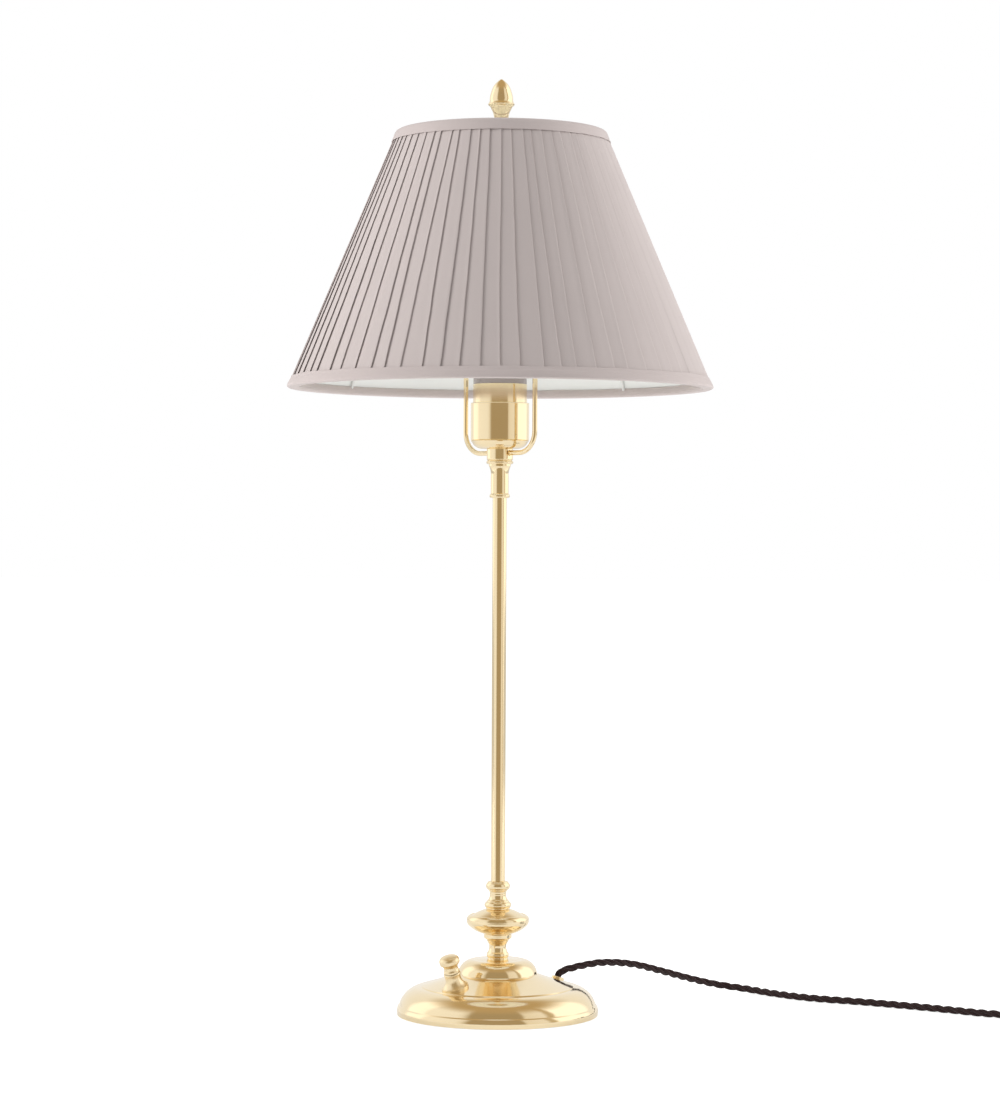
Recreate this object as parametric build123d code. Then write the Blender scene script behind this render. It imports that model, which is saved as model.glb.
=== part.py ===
from build123d import *
import os
from math import atan, atan2, cos, degrees, hypot, pi, radians, sin, sqrt, tan

# Candlestick table lamp in lacquered brass: a weighted spun base, a turned column on one long
# tube, a lampholder between the legs of a wire harp, and a pleated shade held by an acorn finial.
# Millimetres. +Z is up, the origin is on the lamp's axis at the face it stands on, and the
# front, where the dimmer knob is, looks along -Y.

# ---------------------------------------------------------------- fits shared by all pieces
slip = 0.05                 # radial gap of a turned piece on the tube, or of a running fit
ease = 0.10                 # gap between pieces that only lie beside each other
knob_gap = 0.30             # open joint between the knob and its collar

# ---------------------------------------------------------------- base
foot_radius = 71.0          # widest circle of the spun base
felt_radius = foot_radius - 3.0
felt_thickness = 1.5
plate_thickness = 1.5
foot_lift = 0.5             # the brass edge stays this far off the table
foot_band = 6.6             # height of the upright band at the foot
foot_bulge = 0.5
foot_crease = 0.7           # groove above the band
crease_radius = 53.6        # ring line between the outer bulge and the sloping band
crease_height = 20.6
crease_step = 0.7
outer_bulge = 3.2
shoulder_radius = 28.6      # where the sloping band meets the raised middle
shoulder_height = 28.6
shoulder_step = 0.6
shoulder_bulge = 3.3
plateau_radius = 16.0
plateau_height = 39.6
plateau_rise = 0.6
plateau_flat = 8.0          # radius of the level middle that the column stands on
shell_wall = 1.2
band_hollow = 0.3           # the sloping band is this much hollow between its two edges

weight_radius = foot_radius - 5.0
weight_gap = 0.5            # between the iron weight and the brass shell
weight_ring_inner = 44.0    # the underside is hollow inside this radius, for the wiring
weight_floor = 14.5         # height of the hollow's roof
weight_hub = 13.0
plate_screw_circle = foot_radius - 16.0
plate_screw_count = 3
plate_screw_radius = 1.5
plate_screw_head = 2.9
plate_screw_length = 9.0

# ---------------------------------------------------------------- stem tube
tube_radius = 5.0
tube_bore = 3.9
tube_bottom = 9.5
washer_radius = 10.5
washer_thickness = 1.0
nut_flats = 14.0
nut_height = 3.5

# ---------------------------------------------------------------- turned column
foot_ring_radius = 7.2
foot_ring_height = 1.0
foot_bead_radius = 8.0
foot_bead_height = 3.9
waist_radius = 6.4
waist_height = 6.8
waist_lip_radius = 7.6
cup_ring_radius = 9.9
cup_ring_rise = 3.2
cup_ring_height = 2.7
knop_radius = 22.1
knop_height = 18.2
knop_rim_low = 7.0          # the rim's lower edge above the knop's underside
knop_rim_high = 11.6
knop_crease_radius = 18.9
knop_crease_height = 13.4
knop_crease_depth = 0.7
knop_neck_radius = 8.3
neck_ring_radius = 9.6
neck_ring_height = 4.5
neck_radius = 6.0
neck_shoulder_radius = 8.1
neck_height = 8.4
neck_top_radius = 7.0
cap_bead_radius = 8.3
cap_bead_height = 6.1
cap_top_radius = 5.9

# ---------------------------------------------------------------- top of the stem
sleeve_bottom = 364.8
sleeve_bead_radius = 7.2
sleeve_bead_height = 2.8
sleeve_radius = 6.35
sleeve_flare_height = 7.2
sleeve_band_radius = 7.85
sleeve_band_height = 1.6
sleeve_height = 23.8
collar_bead_radius = 9.6
collar_bead_height = 2.8
collar_radius = 9.3
collar_height = 8.8
collar_round = 1.2

# ---------------------------------------------------------------- lampholder
cup_radius = 20.65
cup_dish = 4.6              # height of the rounded bottom
cup_dish_bulge = 2.4
cup_groove = 0.5
cup_height = 31.5
cup_wall = 0.9
cup_lip = 0.6
skirt_radius = 19.1
skirt_height = 13.3         # how far the upper sleeve stands above the cup
skirt_overlap = 6.0
skirt_wall = 0.8
rim_radius = 18.9           # pale insulating rim above the sleeve
rim_height = 4.6
core_radius = 17.6
core_base = 12.0            # underside of the insulating core above the cup's bottom
core_floor = 6.0
thread_radius = 13.35       # bore of the lamp screw shell
thread_wall = 0.45
thread_length = 23.0
thread_recess = 1.2
contact_radius = 4.0
contact_thickness = 0.8
contact_lift = 3.0
terminal_radius = 2.2
terminal_length = 5.0
terminal_offset = 9.5

# ---------------------------------------------------------------- harp
harp_wire = 1.75
harp_half_width = 34.4
harp_turn = -45.0           # azimuth of the harp's right leg
harp_mouth_play = 0.45      # the collar's two holes are wider than the wire at their mouths
harp_mouth_depth = 0.8
harp_low_bend = 15.0
harp_high_bend = 26.0
harp_top = 616.0
saddle_radius = 8.5
saddle_below = 2.6
saddle_above = 3.6
stud_radius = 3.2
stud_length = 14.5

# ---------------------------------------------------------------- shade
shade_top = 623.0
shade_bottom = 441.6
pleat_top_radius = 73.5     # circle through the pleats' outer edges
pleat_bottom_radius = 150.0
pleat_count = 68
pleat_depth = 2.1           # at the bottom
pleat_cloth = 0.7
pleat_turnback = 0.16       # share of a pleat's pitch in which it drops to the next one
pleat_inset = 1.2           # the pleated cover ends this far inside the trims' edges
backing_wall = 1.0
trim_cloth = 0.9
top_trim_height = 8.2
top_trim_inner = 5.0
bottom_trim_height = 8.0
bottom_trim_inner = 6.0
trim_roll = 0.8             # the lower trim's rounded lower edge
trim_fold = 0.3             # the upper trim's sharper fold
ring_wire = 1.5
strut_wire = 1.1
strut_count = 4
strut_turn = 50.0
spider_wire = 1.5
spider_hub_radius = 12.0
spider_hub_thickness = 2.0
spider_hole_play = 0.2

# ---------------------------------------------------------------- finial
finial_height = 38.4
finial_foot_radius = 7.6
finial_foot_height = 2.4
finial_neck_radius = 4.6
finial_neck_height = 9.5
finial_cup_base_radius = 5.4
finial_cup_base_height = 12.6
finial_cup_radius = 7.3
finial_cup_height = 17.6
finial_ridge_radius = 9.5
finial_ridge_height = 20.6
finial_nut_radius = 8.3
finial_nut_height = 23.8
finial_shoulder_radius = 7.2
finial_shoulder_height = 29.6
finial_tip_radius = 1.6
finial_tip_rise = 0.7
finial_bore_depth = 15.5

# ---------------------------------------------------------------- dimmer knob on the base
knob_place_radius = crease_radius - 9.3
knob_azimuth = 228.3
bush_radius = 4.9
bush_wall = 1.85
bush_below = 3.0
bush_above = 7.0
dimmer_radius = 9.5
dimmer_height = 11.0
bell_foot_radius = 9.4
bell_foot_height = 1.3
bell_step = 0.6
bell_height = 11.4
bell_top_radius = 5.6
bell_bead_radius = 6.0
bell_bead_height = 1.9
bell_waist = 1.2
knob_height = 12.3
knob_flange_radius = 5.6
knob_flange_height = 1.2
knob_neck_radius = 5.0
knob_neck_height = 3.4
knob_radius = 7.1
knob_widest_height = 8.0
knob_crown = 0.8
spindle_below = 8.0
spindle_in_knob = 7.0

# ---------------------------------------------------------------- cord outlet
gland_place_radius = crease_radius - 4.6
gland_azimuth = 29.0
gland_radius = 4.6
gland_height = 1.5
gland_shank_radius = 3.9
gland_shank_length = 7.0
gland_nut_flats = 11.0
gland_nut_height = 2.2
cord_radius = 2.7
cord_stub_inside = 9.0

# ---------------------------------------------------------------- wiring inside
wire_radius = 0.8
wire_spacing = 2.0
wire_bend = 3.0
wire_approach = 6.5         # each wire lines up about this far before its terminal
wire_drop = 1.2             # and runs this much lower than the terminal until then
block_length = 18.0
block_width = 10.0
block_height = 8.5
block_pitch = 6.0
block_offset = 26.0         # the block stands this far behind the stem
block_low_port = 2.4
block_high_port = 6.0
supply_corner = 13.0        # where the supply wires turn in behind the block
dimmer_corner = 14.5        # where the dimmer's wires pass the stem

# ---------------------------------------------------------------- cord, its coil and plug
cord_rise = 6.9             # straight out of the gland before the cord bends over
arc_share = 0.45            # of the shorter run that an arc of the cord's tube may use up
floor_clear = 0.05          # the cord's underside lies this far off the table
cord_floor = cord_radius + floor_clear
coil_x = 412.0
coil_y = 20.0
coil_radius = 38.8          # of the outermost turn
coil_pitch = 6.1            # from turn to turn, and from layer to layer
coil_half_turns = 7         # in the lower layer; the upper one has one less
tie_width = 5.0
tie_wall = 0.8
plug_radius = 18.5
plug_band = 13.0
plug_taper = 20.0
plug_waist_radius = 7.6
plug_face_recess = 0.6
boot_length = 17.0
boot_radius = 6.0
boot_tip_radius = 4.1
pin_radius = 2.4
pin_length = 19.0
pin_root_radius = 1.8       # thinner where the pin is held in the body
pin_root_length = 7.0
pin_tip_radius = 1.2
pin_tip_rise = 0.2
pin_spacing = 19.0
earth_clip_width = 5.0
earth_clip_depth = 1.0
earth_clip_length = 12.0
plug_run = 53.0             # from the coil to the plug's boot

# ---------------------------------------------------------------- heights that stack up
plate_top = felt_thickness + plate_thickness
washer_top = weight_floor
nut_top = washer_top - washer_thickness
column_base = plateau_height
cup_ring_top = column_base + foot_ring_height + foot_bead_height + waist_height + cup_ring_rise
knop_base = cup_ring_top + cup_ring_height
neck_base = knop_base + knop_height
cap_base = neck_base + neck_ring_height + neck_height
cap_top = cap_base + cap_bead_height
collar_base = sleeve_bottom + sleeve_height
drum_base = collar_base + collar_bead_height
holder_base = drum_base + collar_height
harp_bottom = drum_base + collar_height / 2 + 0.6
cup_top = holder_base + cup_height
skirt_top = cup_top + skirt_height
rim_top = skirt_top + rim_height
core_bottom = holder_base + core_base
thread_bottom = rim_top - thread_recess - thread_length
saddle_top = harp_top + saddle_above
hub_top = saddle_top + spider_hub_thickness
ring_height_top = saddle_top + spider_hub_thickness / 2
ring_height_bottom = shade_bottom + trim_cloth + ring_wire
shade_slope = atan((pleat_bottom_radius - pleat_top_radius) / (shade_top - shade_bottom))
coil_floor = cord_floor + tie_wall + slip   # the coil lies on its strap
coil_layer_two = coil_floor + coil_pitch
coil_climb_radius = coil_radius - coil_half_turns * coil_pitch / 2
plug_axis_height = plug_radius + floor_clear


def outline(points):
    """Closed face from (radius, height) points. A third value is the bulge of the line that
    ends there: away from the axis where the outline climbs, if it is positive."""
    edges = []
    for start, end in zip(points, points[1:] + points[:1]):
        bulge = end[2] if len(end) > 2 else 0
        if hypot(end[0] - start[0], end[1] - start[1]) < 1e-6:
            continue
        if bulge:
            edges.append(SagittaArc(start[:2], end[:2], -bulge))
        else:
            edges.append(Line(start[:2], end[:2]))
    return make_face(edges)


def crown(radius, rise):
    """Bulge of the arc that closes a crown, level where it meets the axis."""
    chord = hypot(radius, rise)
    arc_radius = chord * chord / (2 * rise)
    return arc_radius - sqrt(arc_radius * arc_radius - chord * chord / 4)


def turned(points):
    """Solid of revolution about Z of a closed outline of (radius, height) points."""
    return revolve(Plane.XZ * outline(points), Axis.Z)


def disc(radius, bottom, top, bore=0):
    """Plain turned disc or ring."""
    return turned([(bore, bottom), (radius, bottom), (radius, top), (bore, top)])


def hex_nut(flats, bottom, height, bore):
    """Hexagonal nut with its hole, standing on the given height."""
    blank = extrude(RegularPolygon(flats / 2, 6, major_radius=False) - Circle(bore), height)
    return Pos(0, 0, bottom) * blank


def rod(start, end, radius):
    """Straight round rod between two points."""
    path = Line(start, end)
    return sweep(Plane(origin=path @ 0, z_dir=path % 0) * Circle(radius), path=path)


def corner_radii(points):
    """Largest radius that each corner of a route allows, from its two runs."""
    radii = []
    for before, here, after in zip(points, points[1:], points[2:]):
        run_in = Vector(*here) - Vector(*before)
        run_out = Vector(*after) - Vector(*here)
        half_turn = radians(run_in.get_angle(run_out)) / 2
        radii.append(arc_share * min(run_in.length, run_out.length) / tan(half_turn))
    return radii


def bent_rod(points, radius, bend=1e9):
    """Round wire or cord along straight runs joined by tangent arcs, none wider than bend."""
    path = FilletPolyline(*points, radius=[min(bend, room) for room in corner_radii(points)])
    return sweep(Plane(origin=path @ 0, z_dir=path % 0) * Circle(radius), path=path), path


def save(name, *solids):
    """Write one named node."""
    os.makedirs("parts", exist_ok=True)
    shape = solids[0] if len(solids) == 1 else Compound(children=list(solids))
    export_step(shape, f"parts/{name}.step")


# ================================================================ base
def dome_corners(inset):
    """Dome from foot to plateau, each corner moved inwards by inset along its normal."""
    corners = [
        (foot_radius, foot_lift + 1.0, 0, 0),
        (foot_radius - 0.7, foot_band, 20, foot_bulge),
        (foot_radius - foot_crease - 0.7, foot_band + foot_crease, 20, 0),
        (crease_radius + crease_step, crease_height - crease_step, 62, outer_bulge),
        (crease_radius, crease_height, 70, 0),
        (shoulder_radius, shoulder_height, 55, -band_hollow),
        (shoulder_radius - shoulder_step, shoulder_height + shoulder_step, 40, 0),
        (plateau_radius, plateau_height - plateau_rise, 80, shoulder_bulge),
    ]
    return [
        (radius - inset * cos(radians(lean)), height - inset * sin(radians(lean)), bulge)
        for radius, height, lean, bulge in corners
    ]


def dome_solid(inset, bottom, top_radius):
    """Filled dome, smaller than the outer surface by inset."""
    corners = dome_corners(inset)
    top = plateau_height - inset
    lowest = (corners[0][0], bottom)
    return turned([(0, bottom), lowest] + corners + [(top_radius, top), (0, top)])


def on_dome(radius, azimuth):
    """Place on the sloping band of the base, with its Z axis square to the band."""
    share = (crease_radius - radius) / (crease_radius - shoulder_radius)
    height = crease_height + share * (shoulder_height - crease_height)
    slope = degrees(atan2(shoulder_height - crease_height, crease_radius - shoulder_radius))
    return Rot(0, 0, azimuth) * Pos(radius, 0, height) * Rot(0, slope, 0)


knob_place = on_dome(knob_place_radius, knob_azimuth)
gland_place = on_dome(gland_place_radius, gland_azimuth)
dome = dome_solid(0, foot_lift, plateau_flat)
under_shell = -shell_wall - band_hollow - 4 * ease


def base_shell():
    cavity = dome_solid(shell_wall, 0, plateau_flat)
    shell = dome - cavity - disc(tube_radius + slip, 0, plateau_height + 5)
    shell -= knob_place * disc(bush_radius + slip, -10, 10)
    shell -= gland_place * disc(gland_shank_radius + slip, -10, 10)
    return shell


def plate_screw_places():
    return PolarLocations(plate_screw_circle, plate_screw_count, start_angle=90)


def plate_screw(gap):
    """Countersunk screw, grown by gap when it is used to cut its own hole."""
    head = plate_screw_head + gap
    shank = plate_screw_radius + gap
    start = felt_thickness
    end = start + plate_screw_length + gap
    neck = start + head - shank
    return turned([(0, start), (head, start), (shank, neck), (shank, end), (0, end)])


def bottom_plate():
    plate = disc(foot_radius - shell_wall - ease, felt_thickness, plate_top)
    for place in plate_screw_places():
        plate -= place * plate_screw(slip)
    return plate


def base_weight():
    outer = dome_solid(shell_wall + weight_gap, plate_top, weight_hub)
    outer = outer & disc(weight_radius, plate_top, plateau_height)
    hub_top_height = plateau_height - shell_wall
    weight = outer + disc(weight_hub, plateau_height - 4, hub_top_height)
    weight = weight & dome_solid(shell_wall, 0, plateau_flat)
    weight -= disc(weight_ring_inner, 0, weight_floor)
    weight -= disc(tube_radius + slip, 0, plateau_height)
    weight -= knob_place * disc(dimmer_radius + 1.0, -30, 10)
    weight -= gland_place * disc(gland_nut_flats / sqrt(3) + 1.0, -30, 10)
    for place in plate_screw_places():
        weight -= place * plate_screw(slip)
    return weight


# ================================================================ column
def column_foot():
    bore = tube_radius + slip
    bead_base = column_base + foot_ring_height
    bead_top = bead_base + foot_bead_height
    waist_top = bead_top + waist_height
    bead_mouth = foot_bead_radius - 0.7
    return turned([
        (bore, column_base),
        (foot_ring_radius, column_base),
        (foot_ring_radius, bead_base),
        (bead_mouth, bead_base),
        (bead_mouth, bead_top - 0.4, 0.7),
        (waist_radius + 0.6, bead_top),
        (waist_lip_radius - 0.3, waist_top, -1.0),
        (waist_lip_radius, waist_top + 0.5),
        (cup_ring_radius - 0.3, cup_ring_top - 0.5, -0.35),
        (cup_ring_radius, cup_ring_top),
        (cup_ring_radius, cup_ring_top + cup_ring_height - 0.5),
        (cup_ring_radius - 0.5, knop_base, 0.15),
        (bore, knop_base),
    ])


def knop():
    bore = tube_radius + slip
    low = knop_base + knop_rim_low
    high = knop_base + knop_rim_high
    crease = knop_base + knop_crease_height
    top = knop_base + knop_height
    return turned([
        (bore, knop_base),
        (cup_ring_radius + 0.5, knop_base),
        (knop_radius - 0.9, low - 0.6, 1.0),
        (knop_radius, low + 1.6, 0.15),
        (knop_radius, high - 1.4),
        (knop_crease_radius + 0.5, crease, 0.7),
        (knop_crease_radius, crease - knop_crease_depth),
        (knop_neck_radius + 1.6, top - 1.1, 0.25),
        (knop_neck_radius, top - 0.5, -0.2),
        (knop_neck_radius, top),
        (bore, top),
    ])


def upper_neck():
    bore = tube_radius + slip
    ring_top = neck_base + neck_ring_height
    top = ring_top + neck_height
    return turned([
        (bore, neck_base),
        (neck_ring_radius - 1.2, neck_base),
        (neck_ring_radius - 1.2, ring_top - 0.3, 1.2),
        (neck_shoulder_radius, ring_top),
        (neck_shoulder_radius - 0.3, ring_top + 0.6),
        (neck_radius, top - 3.2, -0.7),
        (neck_top_radius - 0.2, top - 0.5, -0.35),
        (neck_top_radius, top),
        (bore, top),
    ])


def neck_nut():
    bore = tube_radius + slip
    return turned([
        (bore, cap_base),
        (cap_bead_radius - 0.8, cap_base),
        (cap_bead_radius - 0.8, cap_base + 5.0, 1.1),
        (cap_top_radius, cap_top, 0.3),
        (bore, cap_top),
    ])


def stem_sleeve():
    bore = tube_radius + slip
    bead_top = sleeve_bottom + sleeve_bead_height
    top = sleeve_bottom + sleeve_height
    band_base = top - sleeve_band_height
    return turned([
        (bore, sleeve_bottom),
        (sleeve_bead_radius - 0.6, sleeve_bottom),
        (sleeve_bead_radius - 0.6, bead_top, 0.6),
        (sleeve_radius, bead_top + 0.3),
        (sleeve_radius, band_base - sleeve_flare_height),
        (sleeve_band_radius - 0.3, band_base, -0.5),
        (sleeve_band_radius, band_base + 0.2),
        (sleeve_band_radius, top),
        (bore, top),
    ])


def harp_path():
    """Harp wire in its own plane, from one end in the collar over the top to the other."""
    inside = tube_radius + slip + ease
    corners = [
        (-inside, 0, harp_bottom),
        (-harp_half_width, 0, harp_bottom),
        (-harp_half_width, 0, harp_top),
        (harp_half_width, 0, harp_top),
        (harp_half_width, 0, harp_bottom),
        (inside, 0, harp_bottom),
    ]
    bends = [harp_low_bend, harp_high_bend, harp_high_bend, harp_low_bend]
    return FilletPolyline(*corners, radius=bends)


def harp_collar():
    bore = tube_radius + slip
    bead_mouth = collar_bead_radius - 0.9
    top = drum_base + collar_height
    collar = turned([
        (bore, collar_base),
        (bead_mouth, collar_base),
        (bead_mouth, drum_base - 0.3, 0.9),
        (collar_radius - 0.5, drum_base),
        (collar_radius, drum_base + 0.8, 0.1),
        (collar_radius, top - collar_round),
        (collar_radius - collar_round, top, 0.35),
        (bore, top),
    ])
    outside = collar_radius + 5
    hole = rod((-outside, 0, harp_bottom), (outside, 0, harp_bottom), harp_wire + slip)
    for side in (1, -1):
        mouth = (side * (collar_radius - harp_mouth_depth), 0, harp_bottom)
        hole += rod(mouth, (side * outside, 0, harp_bottom), harp_wire + harp_mouth_play)
    return collar - Rot(0, 0, harp_turn) * hole


def harp():
    path = harp_path()
    start = Plane(origin=path @ 0, z_dir=path % 0)
    wire = Rot(0, 0, harp_turn) * sweep(start * Circle(harp_wire), path=path)
    saddle = turned([
        (0, harp_top - saddle_below),
        (saddle_radius - 2.4, harp_top - saddle_below),
        (saddle_radius, harp_top + 0.6, 0.6),
        (saddle_radius, saddle_top - 0.4),
        (saddle_radius - 0.4, saddle_top),
        (0, saddle_top),
    ])
    return wire + saddle


def harp_stud():
    top = saddle_top + stud_length
    return turned([
        (0, saddle_top),
        (stud_radius, saddle_top),
        (stud_radius, top - 0.6),
        (stud_radius - 0.6, top),
        (0, top),
    ])


# ================================================================ lampholder
def cup_profile(inset):
    """Outside of the lampholder's cup, moved inwards by inset."""
    radius = cup_radius - inset
    base = holder_base + inset
    dish_top = holder_base + cup_dish
    return [
        (collar_radius - inset, base),
        (radius - 0.9, dish_top - 0.6, cup_dish_bulge),
        (radius, dish_top),
    ]


def lampholder_cup():
    bore = tube_radius + slip
    dish_top = holder_base + cup_dish
    outside = cup_profile(0)
    inside = cup_profile(cup_wall)
    inner = inside[-1][0]
    return turned([(bore, holder_base)] + outside + [
        (cup_radius - cup_groove, dish_top + 0.4),
        (cup_radius, dish_top + 0.8),
        (cup_radius, cup_top - cup_lip),
        (cup_radius - cup_lip, cup_top, 0.15),
        (skirt_radius + ease, cup_top),
        (skirt_radius + ease, cup_top - cup_lip),
        (inner, cup_top - cup_lip),
        (inner, inside[-1][1]),
        (inside[1][0], inside[1][1]),
        (inside[0][0], inside[0][1], -cup_dish_bulge),
        (bore, holder_base + cup_wall),
    ])


def lampholder_skirt():
    bottom = cup_top - skirt_overlap
    inner = skirt_radius - skirt_wall
    return turned([
        (inner, bottom),
        (skirt_radius, bottom),
        (skirt_radius, skirt_top - 0.5),
        (skirt_radius - 0.5, skirt_top, 0.15),
        (inner - 0.3, skirt_top),
        (inner - 0.3, skirt_top - 0.8),
        (inner, skirt_top - 0.8),
    ])


def lampholder_core():
    """Insulating core: rests in the cup, carries the screw shell and shows as a pale rim."""
    bore = thread_radius + thread_wall + slip
    floor_top = core_bottom + core_floor
    neck = skirt_radius - skirt_wall - 0.3 - ease
    shelf = cup_radius - cup_wall - ease
    core = turned([
        (0, core_bottom),
        (shelf, core_bottom),
        (shelf, core_bottom + 2.5),
        (core_radius, core_bottom + 2.5),
        (core_radius, skirt_top - 1.2),
        (min(neck, core_radius + 0.2), skirt_top - 1.0),
        (min(neck, core_radius + 0.2), skirt_top),
        (rim_radius, skirt_top),
        (rim_radius, rim_top - 1.0),
        (rim_radius - 1.0, rim_top, 0.3),
        (bore, rim_top),
        (bore, thread_bottom),
        (bore - 1.5, thread_bottom),
        (bore - 1.5, floor_top),
        (0, floor_top),
    ])
    for side in (1, -1):
        core -= Pos(side * terminal_offset, 0, core_bottom) * disc(
            terminal_radius + slip, 0, terminal_length)
    return core


def screw_shell():
    """Lamp screw shell, left plain: the thread is a shallow wave on it."""
    top = thread_bottom + thread_length
    return disc(thread_radius + thread_wall, thread_bottom, top, thread_radius)


def centre_contact():
    """Spring tongue on the core's floor."""
    floor_top = core_bottom + core_floor
    leaf = turned([
        (0, floor_top + contact_lift),
        (contact_radius, floor_top),
        (contact_radius + 1.5, floor_top),
        (contact_radius + 1.5, floor_top + contact_thickness),
        (contact_radius + 0.3, floor_top + contact_thickness),
        (0, floor_top + contact_lift + contact_thickness),
    ])
    return leaf & Pos(0, 0, floor_top + 5) * Box(12, 5, 10)


def terminal_screws():
    shank = terminal_radius - 0.8
    head = disc(terminal_radius, core_bottom - 1.5, core_bottom)
    screw = head + disc(shank, core_bottom, core_bottom + terminal_length - 0.5)
    return [Pos(side * terminal_offset, 0, 0) * screw for side in (1, -1)]


# ================================================================ shade
def cone_radius(top, bottom, height):
    """Radius at a height of the cone through the shade's top and bottom circles."""
    share = (height - shade_bottom) / (shade_top - shade_bottom)
    return bottom + share * (top - bottom)


def pleat_radius(height):
    return cone_radius(pleat_top_radius, pleat_bottom_radius, height)


def backing_outer(height):
    """Outside of the stiff backing, just inside the flats of the pleats' inner faces."""
    share = 1 - (pleat_depth + pleat_cloth) / pleat_bottom_radius
    return pleat_radius(height) * share * cos(pi / pleat_count) - ease


def backing_inner(height):
    return backing_outer(height) - backing_wall


def pleated_cover():
    """Knife pleats, all laid one way: a sawtooth ring drawn towards the cone's apex."""
    valley = 1 - pleat_depth / pleat_bottom_radius
    inside = valley - pleat_cloth / pleat_bottom_radius
    pitch = 2 * pi / pleat_count
    tooth = [(0, 1), (pleat_turnback, valley)]
    outer = [((n + part) * pitch, share) for n in range(pleat_count) for part, share in tooth]
    inner = [((n + pleat_turnback) * pitch, inside) for n in range(pleat_count)]
    low = shade_bottom + pleat_inset
    high = shade_top - pleat_inset

    def corner(angle, share, height):
        radius = pleat_radius(height) * share
        return Vector(radius * cos(angle), radius * sin(angle), height)

    def wall(ring):
        quads = []
        for here, after in zip(ring, ring[1:] + ring[:1]):
            corners = [corner(*here, low), corner(*after, low)]
            corners += [corner(*after, high), corner(*here, high)]
            quads.append(Face(Wire.make_polygon(corners, close=True)))
        return quads

    def cap(height):
        rings = [[corner(*point, height) for point in ring] for ring in (outer, inner)]
        wires = [Wire.make_polygon(ring, close=True) for ring in rings]
        return Face(wires[0], [wires[1]])

    return Solid(Shell(wall(outer) + wall(inner) + [cap(low), cap(high)]))


def shade_backing():
    low = shade_bottom + trim_cloth + ease
    high = shade_top - trim_cloth - ease
    return turned([
        (backing_inner(low), low),
        (backing_outer(low), low),
        (backing_outer(high), high),
        (backing_inner(high), high),
    ])


def trim(edge, inward, height, inner_height, roll):
    """Cloth band folded over the shade's edge; inward is +1 at the bottom edge, -1 at the top."""
    def level(offset):
        return edge + inward * offset
    ring_level = level(trim_cloth + ring_wire)
    outer_low = pleat_radius(level(trim_cloth)) + ease
    outer_high = pleat_radius(level(height)) + ease
    inner_low = ring_circle(ring_level) - ring_wire - ease
    inner_high = min(inner_low, strut_circle(level(inner_height)) - strut_wire - 2 * ease)
    return turned([
        (outer_high, level(height)),
        (outer_high + trim_cloth, level(height)),
        (outer_low + trim_cloth, level(roll)),
        (outer_low + trim_cloth - roll, level(0)),
        (inner_low - trim_cloth + roll, level(0)),
        (inner_low - trim_cloth, level(roll)),
        (inner_high - trim_cloth, level(inner_height)),
        (inner_high, level(inner_height)),
        (inner_low, level(trim_cloth)),
        (outer_low, level(trim_cloth)),
    ])


def ring_circle(height):
    """Centre circle of a wire ring that lies against the inside of the backing."""
    return backing_inner(height) - (ring_wire + ease) / cos(shade_slope)


def strut_circle(height):
    """Distance of a strut's centre line from the axis."""
    return backing_inner(height) - (strut_wire + ease) / cos(shade_slope)


def wire_ring(height):
    section = Pos(ring_circle(height), height) * Circle(ring_wire)
    return revolve(Plane.XZ * section, Axis.Z)


def shade_struts():
    """Wires up the inside of the backing from ring to ring."""
    low = ring_height_bottom + ring_wire * 0.8
    high = ring_height_top - ring_wire * 0.8
    wire = rod((strut_circle(low), 0, low), (strut_circle(high), 0, high), strut_wire)
    wire -= wire_ring(ring_height_bottom)
    wire -= wire_ring(ring_height_top)
    return [Rot(0, 0, strut_turn + n * 360 / strut_count) * wire for n in range(strut_count)]


def spider_arms(gap):
    """Arms from the hub to the top ring, grown by gap when they cut the trim."""
    start = spider_hub_radius - 2
    reach = ring_circle(ring_height_top) - ring_wire * 0.6
    arm = rod((start, 0, ring_height_top), (reach, 0, ring_height_top), spider_wire + gap)
    return [Rot(0, 0, strut_turn + n * 360 / strut_count) * arm for n in range(strut_count)]


def shade_spider():
    """Hub plate and the arms that carry it from the top ring."""
    spider = disc(spider_hub_radius, saddle_top, hub_top)
    for arm in spider_arms(0):
        spider += arm
    spider -= wire_ring(ring_height_top)
    return spider - disc(stud_radius + spider_hole_play, 0, shade_top)


def shade_top_trim():
    """Upper trim, slit where the spider's arms pass under its inner edge."""
    band = trim(shade_top, -1, top_trim_height, top_trim_inner, trim_fold)
    for arm in spider_arms(ease):
        band -= arm
    return band


# ================================================================ finial
def finial():
    base = hub_top
    solid = turned([
        (0, base),
        (finial_foot_radius, base),
        (finial_foot_radius, base + finial_foot_height - 0.6),
        (finial_foot_radius - 0.8, base + finial_foot_height, 0.2),
        (finial_neck_radius, base + finial_neck_height - 2.0, -1.0),
        (finial_neck_radius + 0.2, base + finial_neck_height),
        (finial_cup_base_radius, base + finial_cup_base_height, -0.1),
        (finial_cup_radius, base + finial_cup_height, -0.3),
        (finial_ridge_radius - 0.5, base + finial_ridge_height - 0.8, -0.3),
        (finial_ridge_radius, base + finial_ridge_height),
        (finial_ridge_radius - 0.4, base + finial_ridge_height + 0.7, 0.05),
        (finial_nut_radius, base + finial_nut_height - 0.4, -0.1),
        (finial_nut_radius, base + finial_nut_height),
        (finial_shoulder_radius, base + finial_shoulder_height, 0.25),
        (finial_tip_radius, base + finial_height - finial_tip_rise, 0.9),
        (0, base + finial_height, crown(finial_tip_radius, finial_tip_rise)),
    ])
    return solid - disc(stud_radius + slip, base, base + finial_bore_depth)


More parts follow.
